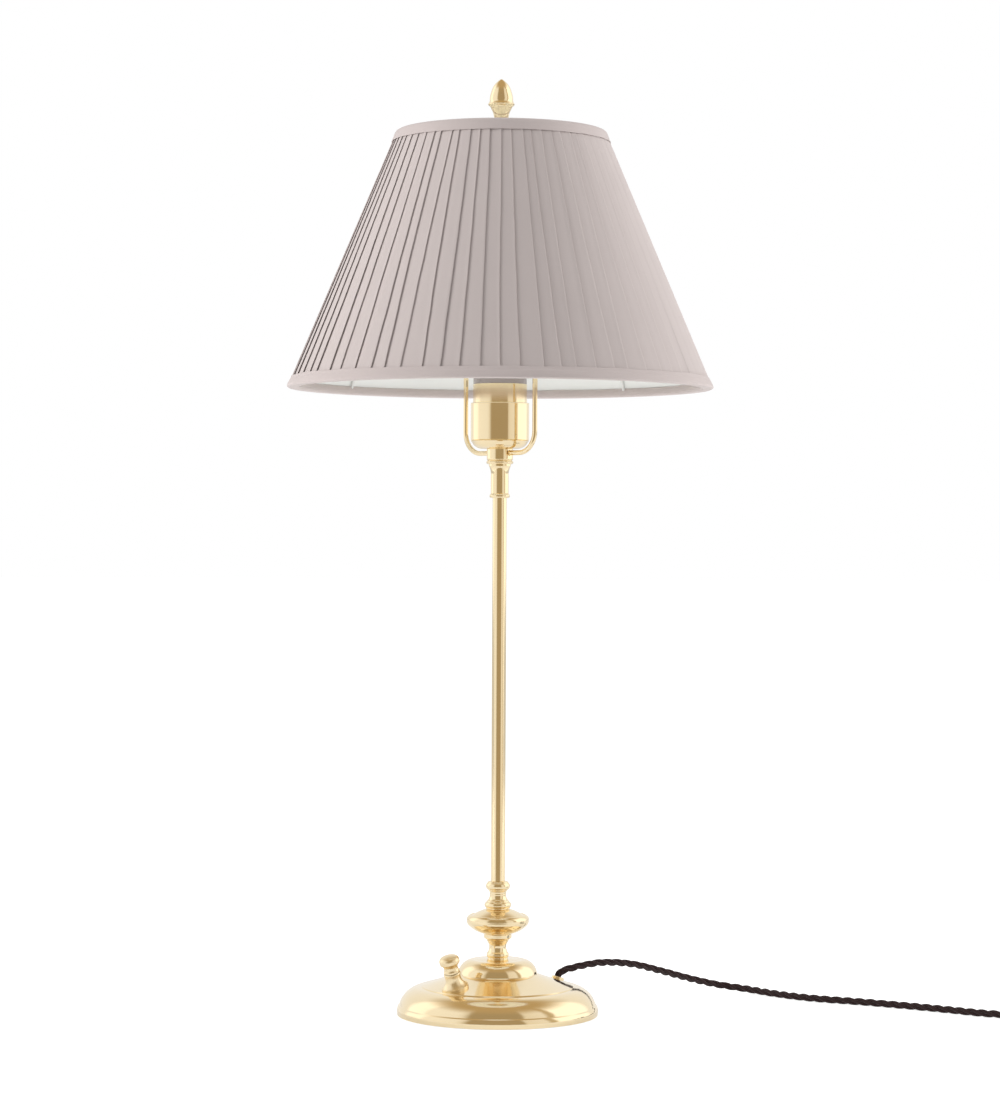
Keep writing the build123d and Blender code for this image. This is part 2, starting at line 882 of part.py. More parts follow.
# ================================================================ dimmer
def dimmer_body():
    """Potentiometer housing under the shell, with its threaded bush through it."""
    top = under_shell
    housing = disc(dimmer_radius, top - dimmer_height, top)
    bush = disc(bush_radius, top - bush_below, bush_above)
    bore = disc(bush_radius - bush_wall, top - dimmer_height + 1, bush_above)
    return knob_place * (housing + bush - bore)


def dimmer_collar():
    """Bell-shaped nut over the bush, its foot cut to the dome."""
    waist = bell_height - bell_bead_height
    bell = turned([
        (bush_radius + slip, -3.0),
        (bell_foot_radius, -3.0),
        (bell_foot_radius, bell_foot_height),
        (bell_foot_radius - bell_step, bell_foot_height + 0.3),
        (bell_top_radius, waist, -bell_waist),
        (bell_bead_radius - 0.4, waist + 0.1),
        (bell_bead_radius - 0.4, bell_height, 0.4),
        (bush_radius - bush_wall + slip, bell_height),
        (bush_radius - bush_wall + slip, bush_above + ease),
        (bush_radius + slip, bush_above + ease),
    ])
    return knob_place * bell - dome


def knob():
    base = bell_height + knob_gap
    spindle = bush_radius - bush_wall - slip
    solid = turned([
        (0, base),
        (knob_flange_radius, base),
        (knob_flange_radius, base + knob_flange_height),
        (knob_neck_radius, base + knob_neck_height, -0.2),
        (knob_radius - 0.6, base + knob_widest_height - 1.8, -0.5),
        (knob_radius, base + knob_widest_height, 0.25),
        (knob_radius - 1.9, base + knob_height - knob_crown, 0.7),
        (0, base + knob_height, crown(knob_radius - 1.9, knob_crown)),
    ])
    return knob_place * (solid - disc(spindle, base, base + spindle_in_knob))


def knob_spindle():
    base = bell_height + knob_gap
    spindle = bush_radius - bush_wall - slip
    return knob_place * disc(spindle, -spindle_below, base + spindle_in_knob)


# ================================================================ cord outlet and wiring
def cord_gland():
    bore = cord_radius + ease
    gland = turned([
        (bore, -gland_shank_length),
        (gland_shank_radius, -gland_shank_length),
        (gland_shank_radius, -1.0),
        (gland_radius, -1.0),
        (gland_radius, gland_height - 0.9),
        (gland_radius - 0.9, gland_height, 0.3),
        (bore + 0.3, gland_height),
        (bore, gland_height - 0.4),
    ])
    flange = disc(gland_radius + 1, -1.5, gland_height + 1, gland_shank_radius)
    return gland_place * gland - (dome & gland_place * flange)


def gland_nut():
    top = under_shell
    return gland_place * hex_nut(
        gland_nut_flats, top - gland_nut_height, gland_nut_height, gland_shank_radius + slip)


def cord_stub():
    """The cord's end inside the gland."""
    return gland_place * disc(cord_radius, -cord_stub_inside, gland_height)


def terminal_block():
    """Three-way terminal block on the bottom plate, its long side across the lamp."""
    body = Pos(0, 0, block_height / 2) * Box(block_length, block_width, block_height)
    body = fillet(body.edges().filter_by(Axis.Z), 1.0)
    screw_hole = Pos(0, 0, block_height) * Cylinder(1.6, 4.0)
    for way in (-1, 0, 1):
        body -= Pos(way * block_pitch, 0, 0) * screw_hole
    return Pos(0, block_offset, plate_top) * body


def block_port(side, way, level):
    """Where a wire meets the block: side +1 is the face away from the stem."""
    reach = block_width / 2 + 2 * ease
    return Vector(way * block_pitch, block_offset + side * reach, plate_top + level)


def wire_to_block(corners, side, way, level, approach):
    """Single insulated wire from its corners into one way of the block."""
    port = block_port(side, way, level)
    turn_in = port + Vector(0, side * approach, -wire_drop)
    points = [tuple(point) for point in corners + [turn_in, port]]
    return bent_rod(points, wire_radius, wire_bend)[0]


def stem_wires():
    """Live, neutral and earth from the block up the stem tube to the lampholder."""
    wires = []
    low = block_port(-1, 0, block_low_port).Z - wire_drop
    for way in (-1, 0, 1):
        x = way * wire_spacing / 2
        y = wire_spacing / 2 if way == 0 else -wire_spacing / 3
        corners = [Vector(x, y, core_bottom - ease), Vector(x, y, low)]
        wires.append(wire_to_block(corners, -1, way, block_low_port, wire_approach))
    return wires


def supply_wires():
    """The cord's three cores, from its stub round to the block's far side."""
    wires = []
    for way in (-1, 0, 1):
        local = Pos(0, way * wire_spacing, -cord_stub_inside)
        start = (gland_place * local).position
        ahead = (gland_place * (local * Pos(0, 0, -4.5))).position
        approach = wire_approach - way * wire_spacing
        port = block_port(1, way, block_low_port)
        corner = Vector(supply_corner, port.Y + approach, port.Z - wire_drop)
        wires.append(wire_to_block([start, ahead, corner], 1, way, block_low_port, approach))
    return wires


def dimmer_wires():
    """Two wires from the dimmer's underside, past the stem, to the block's near side."""
    wires = []
    for way in (-1, 0):
        local = Pos(0, (way + 0.5) * wire_spacing, under_shell - dimmer_height)
        start = (knob_place * local).position
        ahead = (knob_place * (local * Pos(0, 0, -3.0))).position
        level = block_port(-1, way, block_high_port).Z - wire_drop
        corner = Vector(-dimmer_corner + (way + 1) * wire_spacing, 0, level)
        corners = [start, ahead, corner]
        wires.append(wire_to_block(corners, -1, way, block_high_port, wire_approach))
    return wires


# ================================================================ cord
def gland_mouth():
    return (gland_place * Pos(0, 0, gland_height)).position


def cord_run_points():
    """Free stretch: up out of the gland, over in an arch, down to the table and along it."""
    mouth = gland_mouth()
    rise = (gland_place * Pos(0, 0, gland_height + cord_rise)).position
    coil_start = (coil_x - 2 * cord_radius, coil_y - coil_radius, coil_floor)
    return [
        tuple(mouth),
        tuple(rise),
        (57.0, 33.5, 33.0),
        (76.0, 46.0, 32.2),
        (97.0, 61.5, 27.6),
        (118.0, 79.0, 19.4),
        (144.0, 99.5, 8.4),
        (165.0, 112.0, cord_floor),
        (184.0, 106.0, cord_floor),
        (203.0, 86.0, cord_floor),
        (229.0, 63.0, cord_floor),
        (268.0, 46.0, cord_floor),
        (312.0, 19.0, cord_floor),
        (352.0, -10.0, cord_floor),
        (383.0, coil_start[1], coil_floor),
        coil_start,
    ]


def tail_points(start):
    """From the coil's upper layer up to the plug's boot."""
    x, y, z = start
    return [
        (x, y, z),
        (x, y + 15.0, z),
        (x, y + 37.0, plug_axis_height),
        (x, y + plug_run, plug_axis_height),
    ]


def biarc(start, start_way, end, end_way):
    """Two tangent arcs between two points, each with its own direction."""
    across = end - start
    ways = start_way + end_way
    spread = 2 * (1 - start_way.dot(end_way))
    lean = across.dot(ways)
    reach = (-lean + sqrt(lean * lean + spread * across.dot(across))) / spread
    near = start + start_way * reach
    far = end - end_way * reach
    middle = (near + far) * 0.5
    middle_way = (far - near).normalized()
    first = TangentArc(start, middle, tangent=start_way)
    second = TangentArc(middle, end, tangent=middle_way)
    return [first, second]


def coil_edges():
    """Two layers wound one way: in below, up in one half turn, out again on top."""
    straight = 2 * cord_radius
    bottom = coil_y - coil_radius
    here = Vector(coil_x, bottom, coil_floor)
    way = Vector(1, 0, 0)
    edges = [Line(here - way * straight, here)]
    step = coil_pitch / 2
    radii = [coil_radius - n * step for n in range(coil_half_turns)]

    def half_turn(radius):
        nonlocal here, way
        side = 1 if way.X > 0 else -1
        end = here + Vector(0, 2 * side * radius, 0)
        edges.append(TangentArc(here, end, tangent=way))
        here = end
        way = way * -1

    for radius in radii:
        half_turn(radius)
    side = 1 if way.X > 0 else -1
    rise = coil_layer_two - coil_floor
    slope = atan2(rise * pi / 2, pi * coil_climb_radius)
    middle = here + Vector(side * coil_climb_radius, side * coil_climb_radius, rise / 2)
    middle_way = Vector(0, side * cos(slope), sin(slope))
    end = here + Vector(0, 2 * side * coil_climb_radius, rise)
    edges += biarc(here, way, middle, middle_way)
    edges += biarc(middle, middle_way, end, way * -1)
    here = end
    way = way * -1
    for radius in reversed(radii[1:]):
        half_turn(radius)
    side = 1 if way.X > 0 else -1
    last = radii[0]
    end = here + Vector(side * last, side * last, 0)
    edges.append(TangentArc(here, end, tangent=way))
    here = end
    way = Vector(0, side, 0)
    edges.append(Line(here, here + way * straight))
    return edges, here + way * straight


def least_self_gap(path, diameter, step=1.5):
    """Smallest open gap between stretches of a wound tube that aren't neighbours."""
    count = int(path.length / step)
    points = [path @ (n / count) for n in range(count + 1)]
    skip = int(4 * diameter / step)
    cells = {}
    for index, point in enumerate(points):
        key = tuple(int(value // 8) for value in point)
        cells.setdefault(key, []).append(index)
    least = 1e9
    for (a, b, c), members in cells.items():
        near = [i for p in (-1, 0, 1) for q in (-1, 0, 1) for r in (-1, 0, 1)
                for i in cells.get((a + p, b + q, c + r), [])]
        for i in members:
            for j in near:
                if j - i > skip:
                    least = min(least, (points[i] - points[j]).length)
    return least - diameter


def cord_coil():
    edges, end = coil_edges()
    path = Wire(edges)
    start = Plane(origin=path @ 0, z_dir=path % 0)
    solid = sweep(start * Circle(cord_radius), path=path)
    print("coil length", round(path.length, 1), "self gap",
          round(least_self_gap(path, 2 * cord_radius), 2))
    report_volume("cord_coil", solid, path)
    return solid, end, path.length


def report_volume(name, solid, path):
    expected = pi * cord_radius ** 2 * path.length
    print(name, "length", round(path.length, 1), "volume", round(solid.volume),
          "section x length", round(expected))


def coil_tie():
    """Hook-and-loop strap round all the turns on the side away from the lamp's base."""
    inner = coil_radius - (coil_half_turns - 1) * coil_pitch / 2
    width = coil_radius - inner + 2 * cord_radius + coil_pitch / 2 + 2
    height = coil_pitch + 2 * cord_radius + 2 * slip
    middle = (coil_radius + inner) / 2 - coil_pitch / 4
    outside = RectangleRounded(width + 2 * tie_wall, height + 2 * tie_wall, 2.0)
    band = extrude(Plane.YZ * (outside - Rectangle(width, height)), tie_width / 2, both=True)
    return Pos(coil_x, coil_y + middle, (coil_floor + coil_layer_two) / 2) * band


# ================================================================ plug
def plug_place(boot_end):
    """Frame with its Z axis out of the plug's face, on the plug's axis at the boot's end."""
    return Pos(boot_end[0], boot_end[1], boot_end[2]) * Rot(-90, 0, 0)


def plug_boot(boot_end):
    ribs = 5
    pitch = boot_length / ribs
    points = [(0, 0)]
    for n in range(ribs):
        share = n / (ribs - 1)
        radius = boot_tip_radius + share * (boot_radius - boot_tip_radius)
        points += [(radius - 0.6, n * pitch), (radius, n * pitch + 0.3)]
        points += [(radius, (n + 1) * pitch - 1.2), (radius - 0.6, (n + 1) * pitch - 0.9)]
    points += [(boot_radius - 0.6, boot_length), (0, boot_length)]
    return plug_place(boot_end) * turned(points)


def plug_body(boot_end):
    face = boot_length + plug_taper + plug_band
    body = turned([
        (0, boot_length),
        (plug_waist_radius, boot_length),
        (plug_waist_radius + 1.5, boot_length + 5.0, 0.3),
        (plug_radius - 1.5, boot_length + plug_taper - 1.0, 2.0),
        (plug_radius, boot_length + plug_taper, 0.15),
        (plug_radius, face - 0.8),
        (plug_radius - 0.8, face),
        (0, face),
    ])
    recess = disc(plug_radius - 3.0, face - plug_face_recess, face + 1)
    body -= recess
    for side in (1, -1):
        slot = Pos(0, side * (plug_radius - earth_clip_depth / 2), face - earth_clip_length / 2)
        body -= slot * Box(
            earth_clip_width + 2 * slip, earth_clip_depth + 1, earth_clip_length + 2 * slip)
        hole = disc(pin_root_radius + slip, face - pin_root_length - 1, face + 1)
        body -= Pos(side * pin_spacing / 2, 0, 0) * hole
    return plug_place(boot_end) * body


def plug_pins(boot_end):
    face = boot_length + plug_taper + plug_band - plug_face_recess
    tip = face + pin_length
    pin = turned([
        (0, face - pin_root_length),
        (pin_root_radius, face - pin_root_length),
        (pin_root_radius, face + slip),
        (pin_radius, face + slip),
        (pin_radius, tip - 2.0),
        (pin_tip_radius, tip - pin_tip_rise, 0.4),
        (0, tip, crown(pin_tip_radius, pin_tip_rise)),
    ])
    place = plug_place(boot_end)
    return [place * Pos(side * pin_spacing / 2, 0, 0) * pin for side in (1, -1)]


def plug_earth_clips(boot_end):
    face = boot_length + plug_taper + plug_band
    place = plug_place(boot_end)
    clips = []
    for side in (1, -1):
        depth = earth_clip_depth - 0.2
        middle = side * (plug_radius - earth_clip_depth - 0.5 + slip + depth / 2)
        clip = Box(earth_clip_width, depth, earth_clip_length)
        clips.append(place * Pos(0, middle, face - earth_clip_length / 2) * clip)
    return clips


# ================================================================ build
def main():
    save("felt_pad", disc(felt_radius, 0, felt_thickness))
    save("bottom_plate", bottom_plate())
    save("plate_screws", *[place * plate_screw(0) for place in plate_screw_places()])
    save("base_weight", base_weight())
    save("base_shell", base_shell())
    save("base_washer", disc(washer_radius, nut_top, washer_top, tube_radius + slip))
    save("base_nut", hex_nut(nut_flats, nut_top - nut_height, nut_height, tube_radius + slip))
    save("column_foot", column_foot())
    save("knop", knop())
    save("upper_neck", upper_neck())
    save("neck_nut", neck_nut())
    tube_top = holder_base + cup_wall + nut_height + 2.0
    save("stem_tube", disc(tube_radius, tube_bottom, tube_top, tube_bore))
    save("stem_sleeve", stem_sleeve())
    save("harp_collar", harp_collar())
    save("harp", harp())
    save("harp_stud", harp_stud())
    save("lampholder_cup", lampholder_cup())
    save("holder_nut", hex_nut(nut_flats, holder_base + cup_wall, nut_height, tube_radius + slip))
    save("lampholder_skirt", lampholder_skirt())
    save("lampholder_core", lampholder_core())
    save("screw_shell", screw_shell())
    save("centre_contact", centre_contact())
    save("terminal_screws", *terminal_screws())
    save("shade_spider", shade_spider())
    save("shade_top_ring", wire_ring(ring_height_top))
    save("shade_bottom_ring", wire_ring(ring_height_bottom))
    save("shade_struts", *shade_struts())
    save("shade_backing", shade_backing())
    save("pleated_cover", pleated_cover())
    save("shade_top_trim", shade_top_trim())
    save("shade_bottom_trim", trim(shade_bottom, 1, bottom_trim_height, bottom_trim_inner, trim_roll))
    save("finial", finial())
    save("dimmer_body", dimmer_body())
    save("dimmer_collar", dimmer_collar())
    save("dimmer_knob", knob())
    save("dimmer_spindle", knob_spindle())
    save("cord_gland", cord_gland())
    save("gland_nut", gland_nut())
    save("cord_stub", cord_stub())
    save("terminal_block", terminal_block())
    save("stem_wires", *stem_wires())
    save("supply_wires", *supply_wires())
    save("dimmer_wires", *dimmer_wires())

    run_points = cord_run_points()
    print("cord_run radii", [round(radius, 1) for radius in corner_radii(run_points)])
    run, run_path = bent_rod(run_points, cord_radius)
    report_volume("cord_run", run, run_path)
    save("cord_run", run)
    coil, coil_end, coil_length = cord_coil()
    save("cord_coil", coil)
    tail = tail_points(tuple(coil_end))
    print("cord_tail radii", [round(radius, 1) for radius in corner_radii(tail)])
    tail_solid, tail_path = bent_rod(tail, cord_radius)
    report_volume("cord_tail", tail_solid, tail_path)
    save("cord_tail", tail_solid)
    print("cord length", round(run_path.length + coil_length + tail_path.length, 1))
    boot_end = tail[-1]
    save("coil_tie", coil_tie())
    save("plug_boot", plug_boot(boot_end))
    save("plug_body", plug_body(boot_end))
    save("plug_pins", *plug_pins(boot_end))
    save("plug_earth_clips", *plug_earth_clips(boot_end))


main()
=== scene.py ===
from math import atan2, ceil, cos, hypot, pi, radians, sin

import bmesh
import bpy
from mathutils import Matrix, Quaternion, Vector, noise


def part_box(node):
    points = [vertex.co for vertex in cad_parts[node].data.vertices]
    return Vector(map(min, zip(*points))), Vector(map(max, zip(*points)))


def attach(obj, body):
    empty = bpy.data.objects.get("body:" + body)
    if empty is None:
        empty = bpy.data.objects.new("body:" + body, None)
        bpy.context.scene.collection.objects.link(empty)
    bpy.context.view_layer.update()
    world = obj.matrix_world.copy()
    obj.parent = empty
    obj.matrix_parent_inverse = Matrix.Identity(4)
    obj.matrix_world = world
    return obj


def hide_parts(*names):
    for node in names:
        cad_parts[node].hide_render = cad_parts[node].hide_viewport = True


# Candlestick table lamp in lacquered brass with a knife-pleated shade and a twisted textile cord.
# Metres. +Z is up, the front, where the dimmer knob is, looks along -Y.

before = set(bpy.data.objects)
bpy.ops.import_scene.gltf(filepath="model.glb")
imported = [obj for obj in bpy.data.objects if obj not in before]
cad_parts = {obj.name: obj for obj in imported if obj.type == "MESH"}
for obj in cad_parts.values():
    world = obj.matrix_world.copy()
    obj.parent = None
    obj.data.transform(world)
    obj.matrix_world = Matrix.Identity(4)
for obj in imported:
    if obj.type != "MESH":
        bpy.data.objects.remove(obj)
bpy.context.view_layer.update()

bl_info = {
    "name": "Candlestick table lamp",
    "version": (1, 0, 0),
    "blender": (4, 5, 0),
    "location": "3D View > Sidebar > Lamp",
    "description": "Brass table lamp with a pleated shade, built around its packed parts",
    "category": "Object",
}

MM = 0.001

# ---------------------------------------------------------------- sizes shared by several pieces
SHADE_FOOT = 441.6 * MM         # height of the shade's lower edge
SHADE_HEAD = 623.0 * MM         # height of its upper edge
SHADE_FOOT_RADIUS = 150.0 * MM  # circle through the pleats' outer folds, at the lower edge
SHADE_HEAD_RADIUS = 73.5 * MM   # and at the upper edge
LINING_WALL = 1.0 * MM          # thickness of the stiff lining

CORD_RADIUS = 2.7 * MM
CORD_FLOOR = 2.75 * MM          # height of the cord's centre where it lies on the table
CORD_STEP = 1.25 * MM           # between two rings of a strand
COIL_FLOOR = 3.6 * MM           # height of the centre in the coil's lower layer, on its strap
COIL_CENTRE = Vector((412.0, 20.0, 0.0)) * MM
COIL_RADIUS = 38.8 * MM         # of the outermost turn
COIL_PITCH = 6.1 * MM           # from turn to turn, and from layer to layer
COIL_HALF_TURNS = 7             # in the lower layer; the upper one has one less
COIL_STEP = 30                  # degrees between two points of a turn
PLUG_AXIS = 18.55 * MM          # height of the plug's middle line


# ================================================================ settings
class LampStageSettings(bpy.types.PropertyGroup):
    camera_distance: bpy.props.FloatProperty(
        name="Camera distance", description="From the lamp's axis to the camera",
        default=2.15, min=0.5, subtype="DISTANCE")
    camera_height: bpy.props.FloatProperty(
        name="Camera height", description="Height of the camera above the table",
        default=0.335, min=0.0, subtype="DISTANCE")
    lens: bpy.props.FloatProperty(
        name="Focal length", description="Focal length of the camera's lens in millimetres",
        default=98.7, min=20.0, unit="CAMERA")
    background: bpy.props.FloatProperty(
        name="Background", description="Brightness of the backdrop, where 1 is white",
        default=1.0, min=0.0, max=1.0, subtype="FACTOR")
    floor_ahead: bpy.props.FloatProperty(
        name="Floor ahead", description="How far the white floor reaches towards the camera",
        default=0.5, min=0.3, subtype="DISTANCE")
    ambient: bpy.props.FloatProperty(
        name="Ambient light", description="Brightness of the light from all round",
        default=0.54, min=0.0, max=2.0)
    softbox: bpy.props.FloatProperty(
        name="Softbox power", description="Power of each large lamp beside the object",
        default=16.0, min=0.0, unit="POWER")


class LampBrassSettings(bpy.types.PropertyGroup):
    colour: bpy.props.FloatVectorProperty(
        name="Brass colour", description="Colour of the polished brass",
        default=(0.92, 0.76, 0.49), size=3, subtype="COLOR", min=0.0, max=1.0)
    roughness: bpy.props.FloatProperty(
        name="Polish", description="Roughness of the polished surface",
        default=0.11, min=0.0, max=1.0, subtype="FACTOR")


class LampShadeSettings(bpy.types.PropertyGroup):
    cloth: bpy.props.FloatVectorProperty(
        name="Pleated cloth", description="Colour of the pleated cloth",
        default=(0.62, 0.545, 0.525), size=3, subtype="COLOR", min=0.0, max=1.0)
    trim: bpy.props.FloatVectorProperty(
        name="Trim", description="Colour of the bands along the shade's edges",
        default=(0.62, 0.54, 0.52), size=3, subtype="COLOR", min=0.0, max=1.0)
    lining: bpy.props.FloatVectorProperty(
        name="Lining", description="Colour of the stiff lining",
        default=(0.95, 0.96, 0.94), size=3, subtype="COLOR", min=0.0, max=1.0)
    pleats: bpy.props.IntProperty(
        name="Pleats", description="Number of pleats round the shade",
        default=68, min=12, max=160)
    lap: bpy.props.FloatProperty(
        name="Lap", description="Share of a pleat that lies under the one beside it",
        default=0.32, min=0.05, max=0.8, subtype="FACTOR")
    depth: bpy.props.FloatProperty(
        name="Pleat depth", description="How far the folds stand out at the lower edge",
        default=1.8 * MM, min=0.2 * MM, max=5 * MM, unit="LENGTH")


class LampCordSettings(bpy.types.PropertyGroup):
    colour: bpy.props.FloatVectorProperty(
        name="Textile colour", description="Colour of the cord's textile cover",
        default=(0.026, 0.012, 0.012), size=3, subtype="COLOR", min=0.0, max=1.0)
    lay: bpy.props.FloatProperty(
        name="Lay", description="Length of cord in which a strand goes once round",
        default=26.0 * MM, min=5 * MM, unit="LENGTH")
    strand: bpy.props.FloatProperty(
        name="Strand", description="Diameter of one strand",
        default=2.5 * MM, min=0.5 * MM, unit="LENGTH")
    length: bpy.props.FloatProperty(
        name="Length", description="Length of the whole cord",
        default=1.80, min=0.1, unit="LENGTH")


# ================================================================ materials
def add_node(tree, kind, **values):
    """Node of one kind with its properties set."""
    made = tree.nodes.new(kind)
    for name, value in values.items():
        setattr(made, name, value)
    return made


def feed(tree, socket, value):
    """Links another node's output into a socket, or sets the socket's own value."""
    if isinstance(value, bpy.types.NodeSocket):
        tree.links.new(value, socket)
    elif value is not None:
        socket.default_value = value


def math_node(tree, operation, first, second=None, third=None, clamp=False):
    """Math node; each input is a socket or a number."""
    made = add_node(tree, "ShaderNodeMath", operation=operation, use_clamp=clamp)
    for socket, value in zip(made.inputs, (first, second, third)):
        feed(tree, socket, value)
    return made.outputs[0]


def mapped(tree, value, low, high):
    """A 0 to 1 value stretched to a range."""
    return math_node(tree, "MULTIPLY_ADD", value, high - low, low)


def vector_node(tree, x, y, z=0.0):
    """A vector from three numbers or sockets."""
    made = add_node(tree, "ShaderNodeCombineXYZ")
    for socket, value in zip(made.inputs, (x, y, z)):
        feed(tree, socket, value)
    return made.outputs[0]


def split_node(tree, vector):
    """The x, y and z of a vector."""
    made = add_node(tree, "ShaderNodeSeparateXYZ")
    tree.links.new(vector, made.inputs[0])
    return made.outputs


def noise_node(tree, vector, scale, detail=2.0):
    """Soft noise from 0 to 1."""
    made = add_node(tree, "ShaderNodeTexNoise")
    for label, value in (("Vector", vector), ("Scale", scale), ("Detail", detail)):
        feed(tree, made.inputs[label], value)
    return made.outputs["Fac"]


def mixed_colour(tree, share, first, second):
    """Blend of two colours; each is a socket, a colour or a grey level."""
    made = add_node(tree, "ShaderNodeMix", data_type="RGBA")
    tree.links.new(share, made.inputs[0])
    for socket, value in zip(made.inputs[6:8], (first, second)):
        if isinstance(value, float):
            value = (value, value, value)
        if isinstance(value, tuple):
            value = (*value, 1.0)
        feed(tree, socket, value)
    return made.outputs[2]


def tinted(tree, colour, tone, contrast, leave):
    """Colour made lighter and darker by a tone on both sides of zero."""
    made = add_node(tree, "ShaderNodeHueSaturation")
    tree.links.new(colour, made.inputs["Color"])
    tree.links.new(math_node(tree, "MULTIPLY_ADD", tone, contrast, 1.0), made.inputs["Value"])
    tree.links.new(made.outputs[0], leave)
    return made


def new_group(name, inputs, outputs):
    """Empty shader node group with named sockets: (label, kind, default) each."""
    tree = bpy.data.node_groups.new(name, "ShaderNodeTree")
    for label, kind, default in inputs:
        socket = tree.interface.new_socket(name=label, in_out="INPUT", socket_type=kind)
        if default is not None:
            socket.default_value = default
    for label, kind in outputs:
        tree.interface.new_socket(name=label, in_out="OUTPUT", socket_type=kind)
    entry = add_node(tree, "NodeGroupInput")
    leave = add_node(tree, "NodeGroupOutput")
    return tree, entry.outputs, leave.inputs


FLOAT = "NodeSocketFloat"
VECTOR = "NodeSocketVector"
COLOUR = "NodeSocketColor"


def polish_group():
    """Fine turning rings and soft wear of a polished, lacquered metal surface."""
    if "polish marks" in bpy.data.node_groups:
        return bpy.data.node_groups["polish marks"]
    tree, entry, leave = new_group(
        "polish marks",
        [("Vector", VECTOR, None), ("Colour", COLOUR, (0.9, 0.67, 0.35, 1.0)),
         ("Roughness", FLOAT, 0.1), ("Spread", FLOAT, 0.05), ("Patina", FLOAT, 0.06)],
        [("Colour", COLOUR), ("Roughness", FLOAT), ("Height", FLOAT)])
    x, y, z = split_node(tree, entry["Vector"])
    radius = math_node(tree, "SQRT", math_node(tree, "ADD", math_node(tree, "MULTIPLY", x, x),
                                               math_node(tree, "MULTIPLY", y, y)))
    rings = noise_node(tree, vector_node(tree, radius, z), 2600.0, 3.0)
    wear = noise_node(tree, entry["Vector"], 60.0, 4.0)
    smear = noise_node(tree, vector_node(tree, radius, z, 3.1), 240.0, 2.0)
    mixed = math_node(tree, "ADD", math_node(tree, "MULTIPLY", wear, 0.6),
                      math_node(tree, "MULTIPLY", smear, 0.4))
    offset = math_node(tree, "SUBTRACT", mixed, 0.5)
    rough = math_node(tree, "MULTIPLY_ADD", offset, entry["Spread"], entry["Roughness"])
    tree.links.new(math_node(tree, "MAXIMUM", rough, 0.02), leave["Roughness"])
    tree.links.new(rings, leave["Height"])
    tint = tinted(tree, entry["Colour"], offset, entry["Patina"], leave["Colour"])
    fading = math_node(tree, "MULTIPLY", entry["Patina"], -1.5)
    tree.links.new(math_node(tree, "MULTIPLY_ADD", offset, fading, 1.0),
                   tint.inputs["Saturation"])
    return tree


def weave_group():
    """Plain weave over a surface's own UV map in metres, with slubs in both thread ways."""
    if "plain weave" in bpy.data.node_groups:
        return bpy.data.node_groups["plain weave"]
    tree, entry, leave = new_group(
        "plain weave",
        [("Vector", VECTOR, None), ("Colour", COLOUR, (0.6, 0.5, 0.5, 1.0)),
         ("Threads", FLOAT, 2600.0), ("Contrast", FLOAT, 0.10)],
        [("Colour", COLOUR), ("Height", FLOAT)])
    x, y, _ = split_node(tree, entry["Vector"])
    turns = math_node(tree, "MULTIPLY", entry["Threads"], pi)
    warp = math_node(tree, "SINE", math_node(tree, "MULTIPLY", x, turns))
    weft = math_node(tree, "SINE", math_node(tree, "MULTIPLY", y, turns))
    over = math_node(tree, "MULTIPLY", warp, weft)
    slub = 9.0                  # times as long as it is wide
    along = vector_node(tree, math_node(tree, "MULTIPLY", x, slub), y)
    across = vector_node(tree, x, math_node(tree, "MULTIPLY", y, slub))
    cloud = noise_node(tree, entry["Vector"], 22.0, 3.0)
    slubs = math_node(tree, "ADD", *[noise_node(tree, way, 260.0, 3.0) for way in (along, across)])
    height = math_node(tree, "ADD", math_node(tree, "MULTIPLY", over, 0.35), slubs)
    tree.links.new(height, leave["Height"])
    tone = math_node(tree, "ADD", math_node(tree, "MULTIPLY", slubs, 0.5), cloud)
    tone = math_node(tree, "SUBTRACT", tone, 1.0)
    tinted(tree, entry["Colour"], tone, entry["Contrast"], leave["Colour"])
    return tree


def braid_group():
    """Diamond braid of a textile cover over a strand's UV map, one unit round the strand, with
    painted shade in its grooves and painted highlight on its crests.
    """
    if "braid" in bpy.data.node_groups:
        return bpy.data.node_groups["braid"]
    tree, entry, leave = new_group(
        "braid",
        [("Vector", VECTOR, None), ("Colour", COLOUR, (0.03, 0.015, 0.014, 1.0)),
         ("Carriers", FLOAT, 8.0), ("Contrast", FLOAT, 0.5)],
        [("Colour", COLOUR), ("Height", FLOAT), ("Roughness", FLOAT)])
    x, y, _ = split_node(tree, entry["Vector"])
    turns = math_node(tree, "MULTIPLY", entry["Carriers"], pi)
    right, left = [
        math_node(tree, "SINE", math_node(tree, "MULTIPLY", math_node(tree, way, x, y), turns))
        for way in ("ADD", "SUBTRACT")]
    over = math_node(tree, "ABSOLUTE", math_node(tree, "MULTIPLY", right, left))
    fibres = noise_node(tree, entry["Vector"], 30.0, 3.0)
    height = math_node(tree, "ADD", over, math_node(tree, "MULTIPLY", fibres, 0.3))
    tree.links.new(height, leave["Height"])
    tree.links.new(mapped(tree, fibres, 0.72, 0.95), leave["Roughness"])
    # Painted shade and highlight: the colour darkens in the grooves between the carriers and
    # lightens on their crests, following the braid's height.
    tone = math_node(tree, "SUBTRACT", height, 0.45)
    tinted(tree, entry["Colour"], tone, entry["Contrast"], leave["Colour"])
    return tree


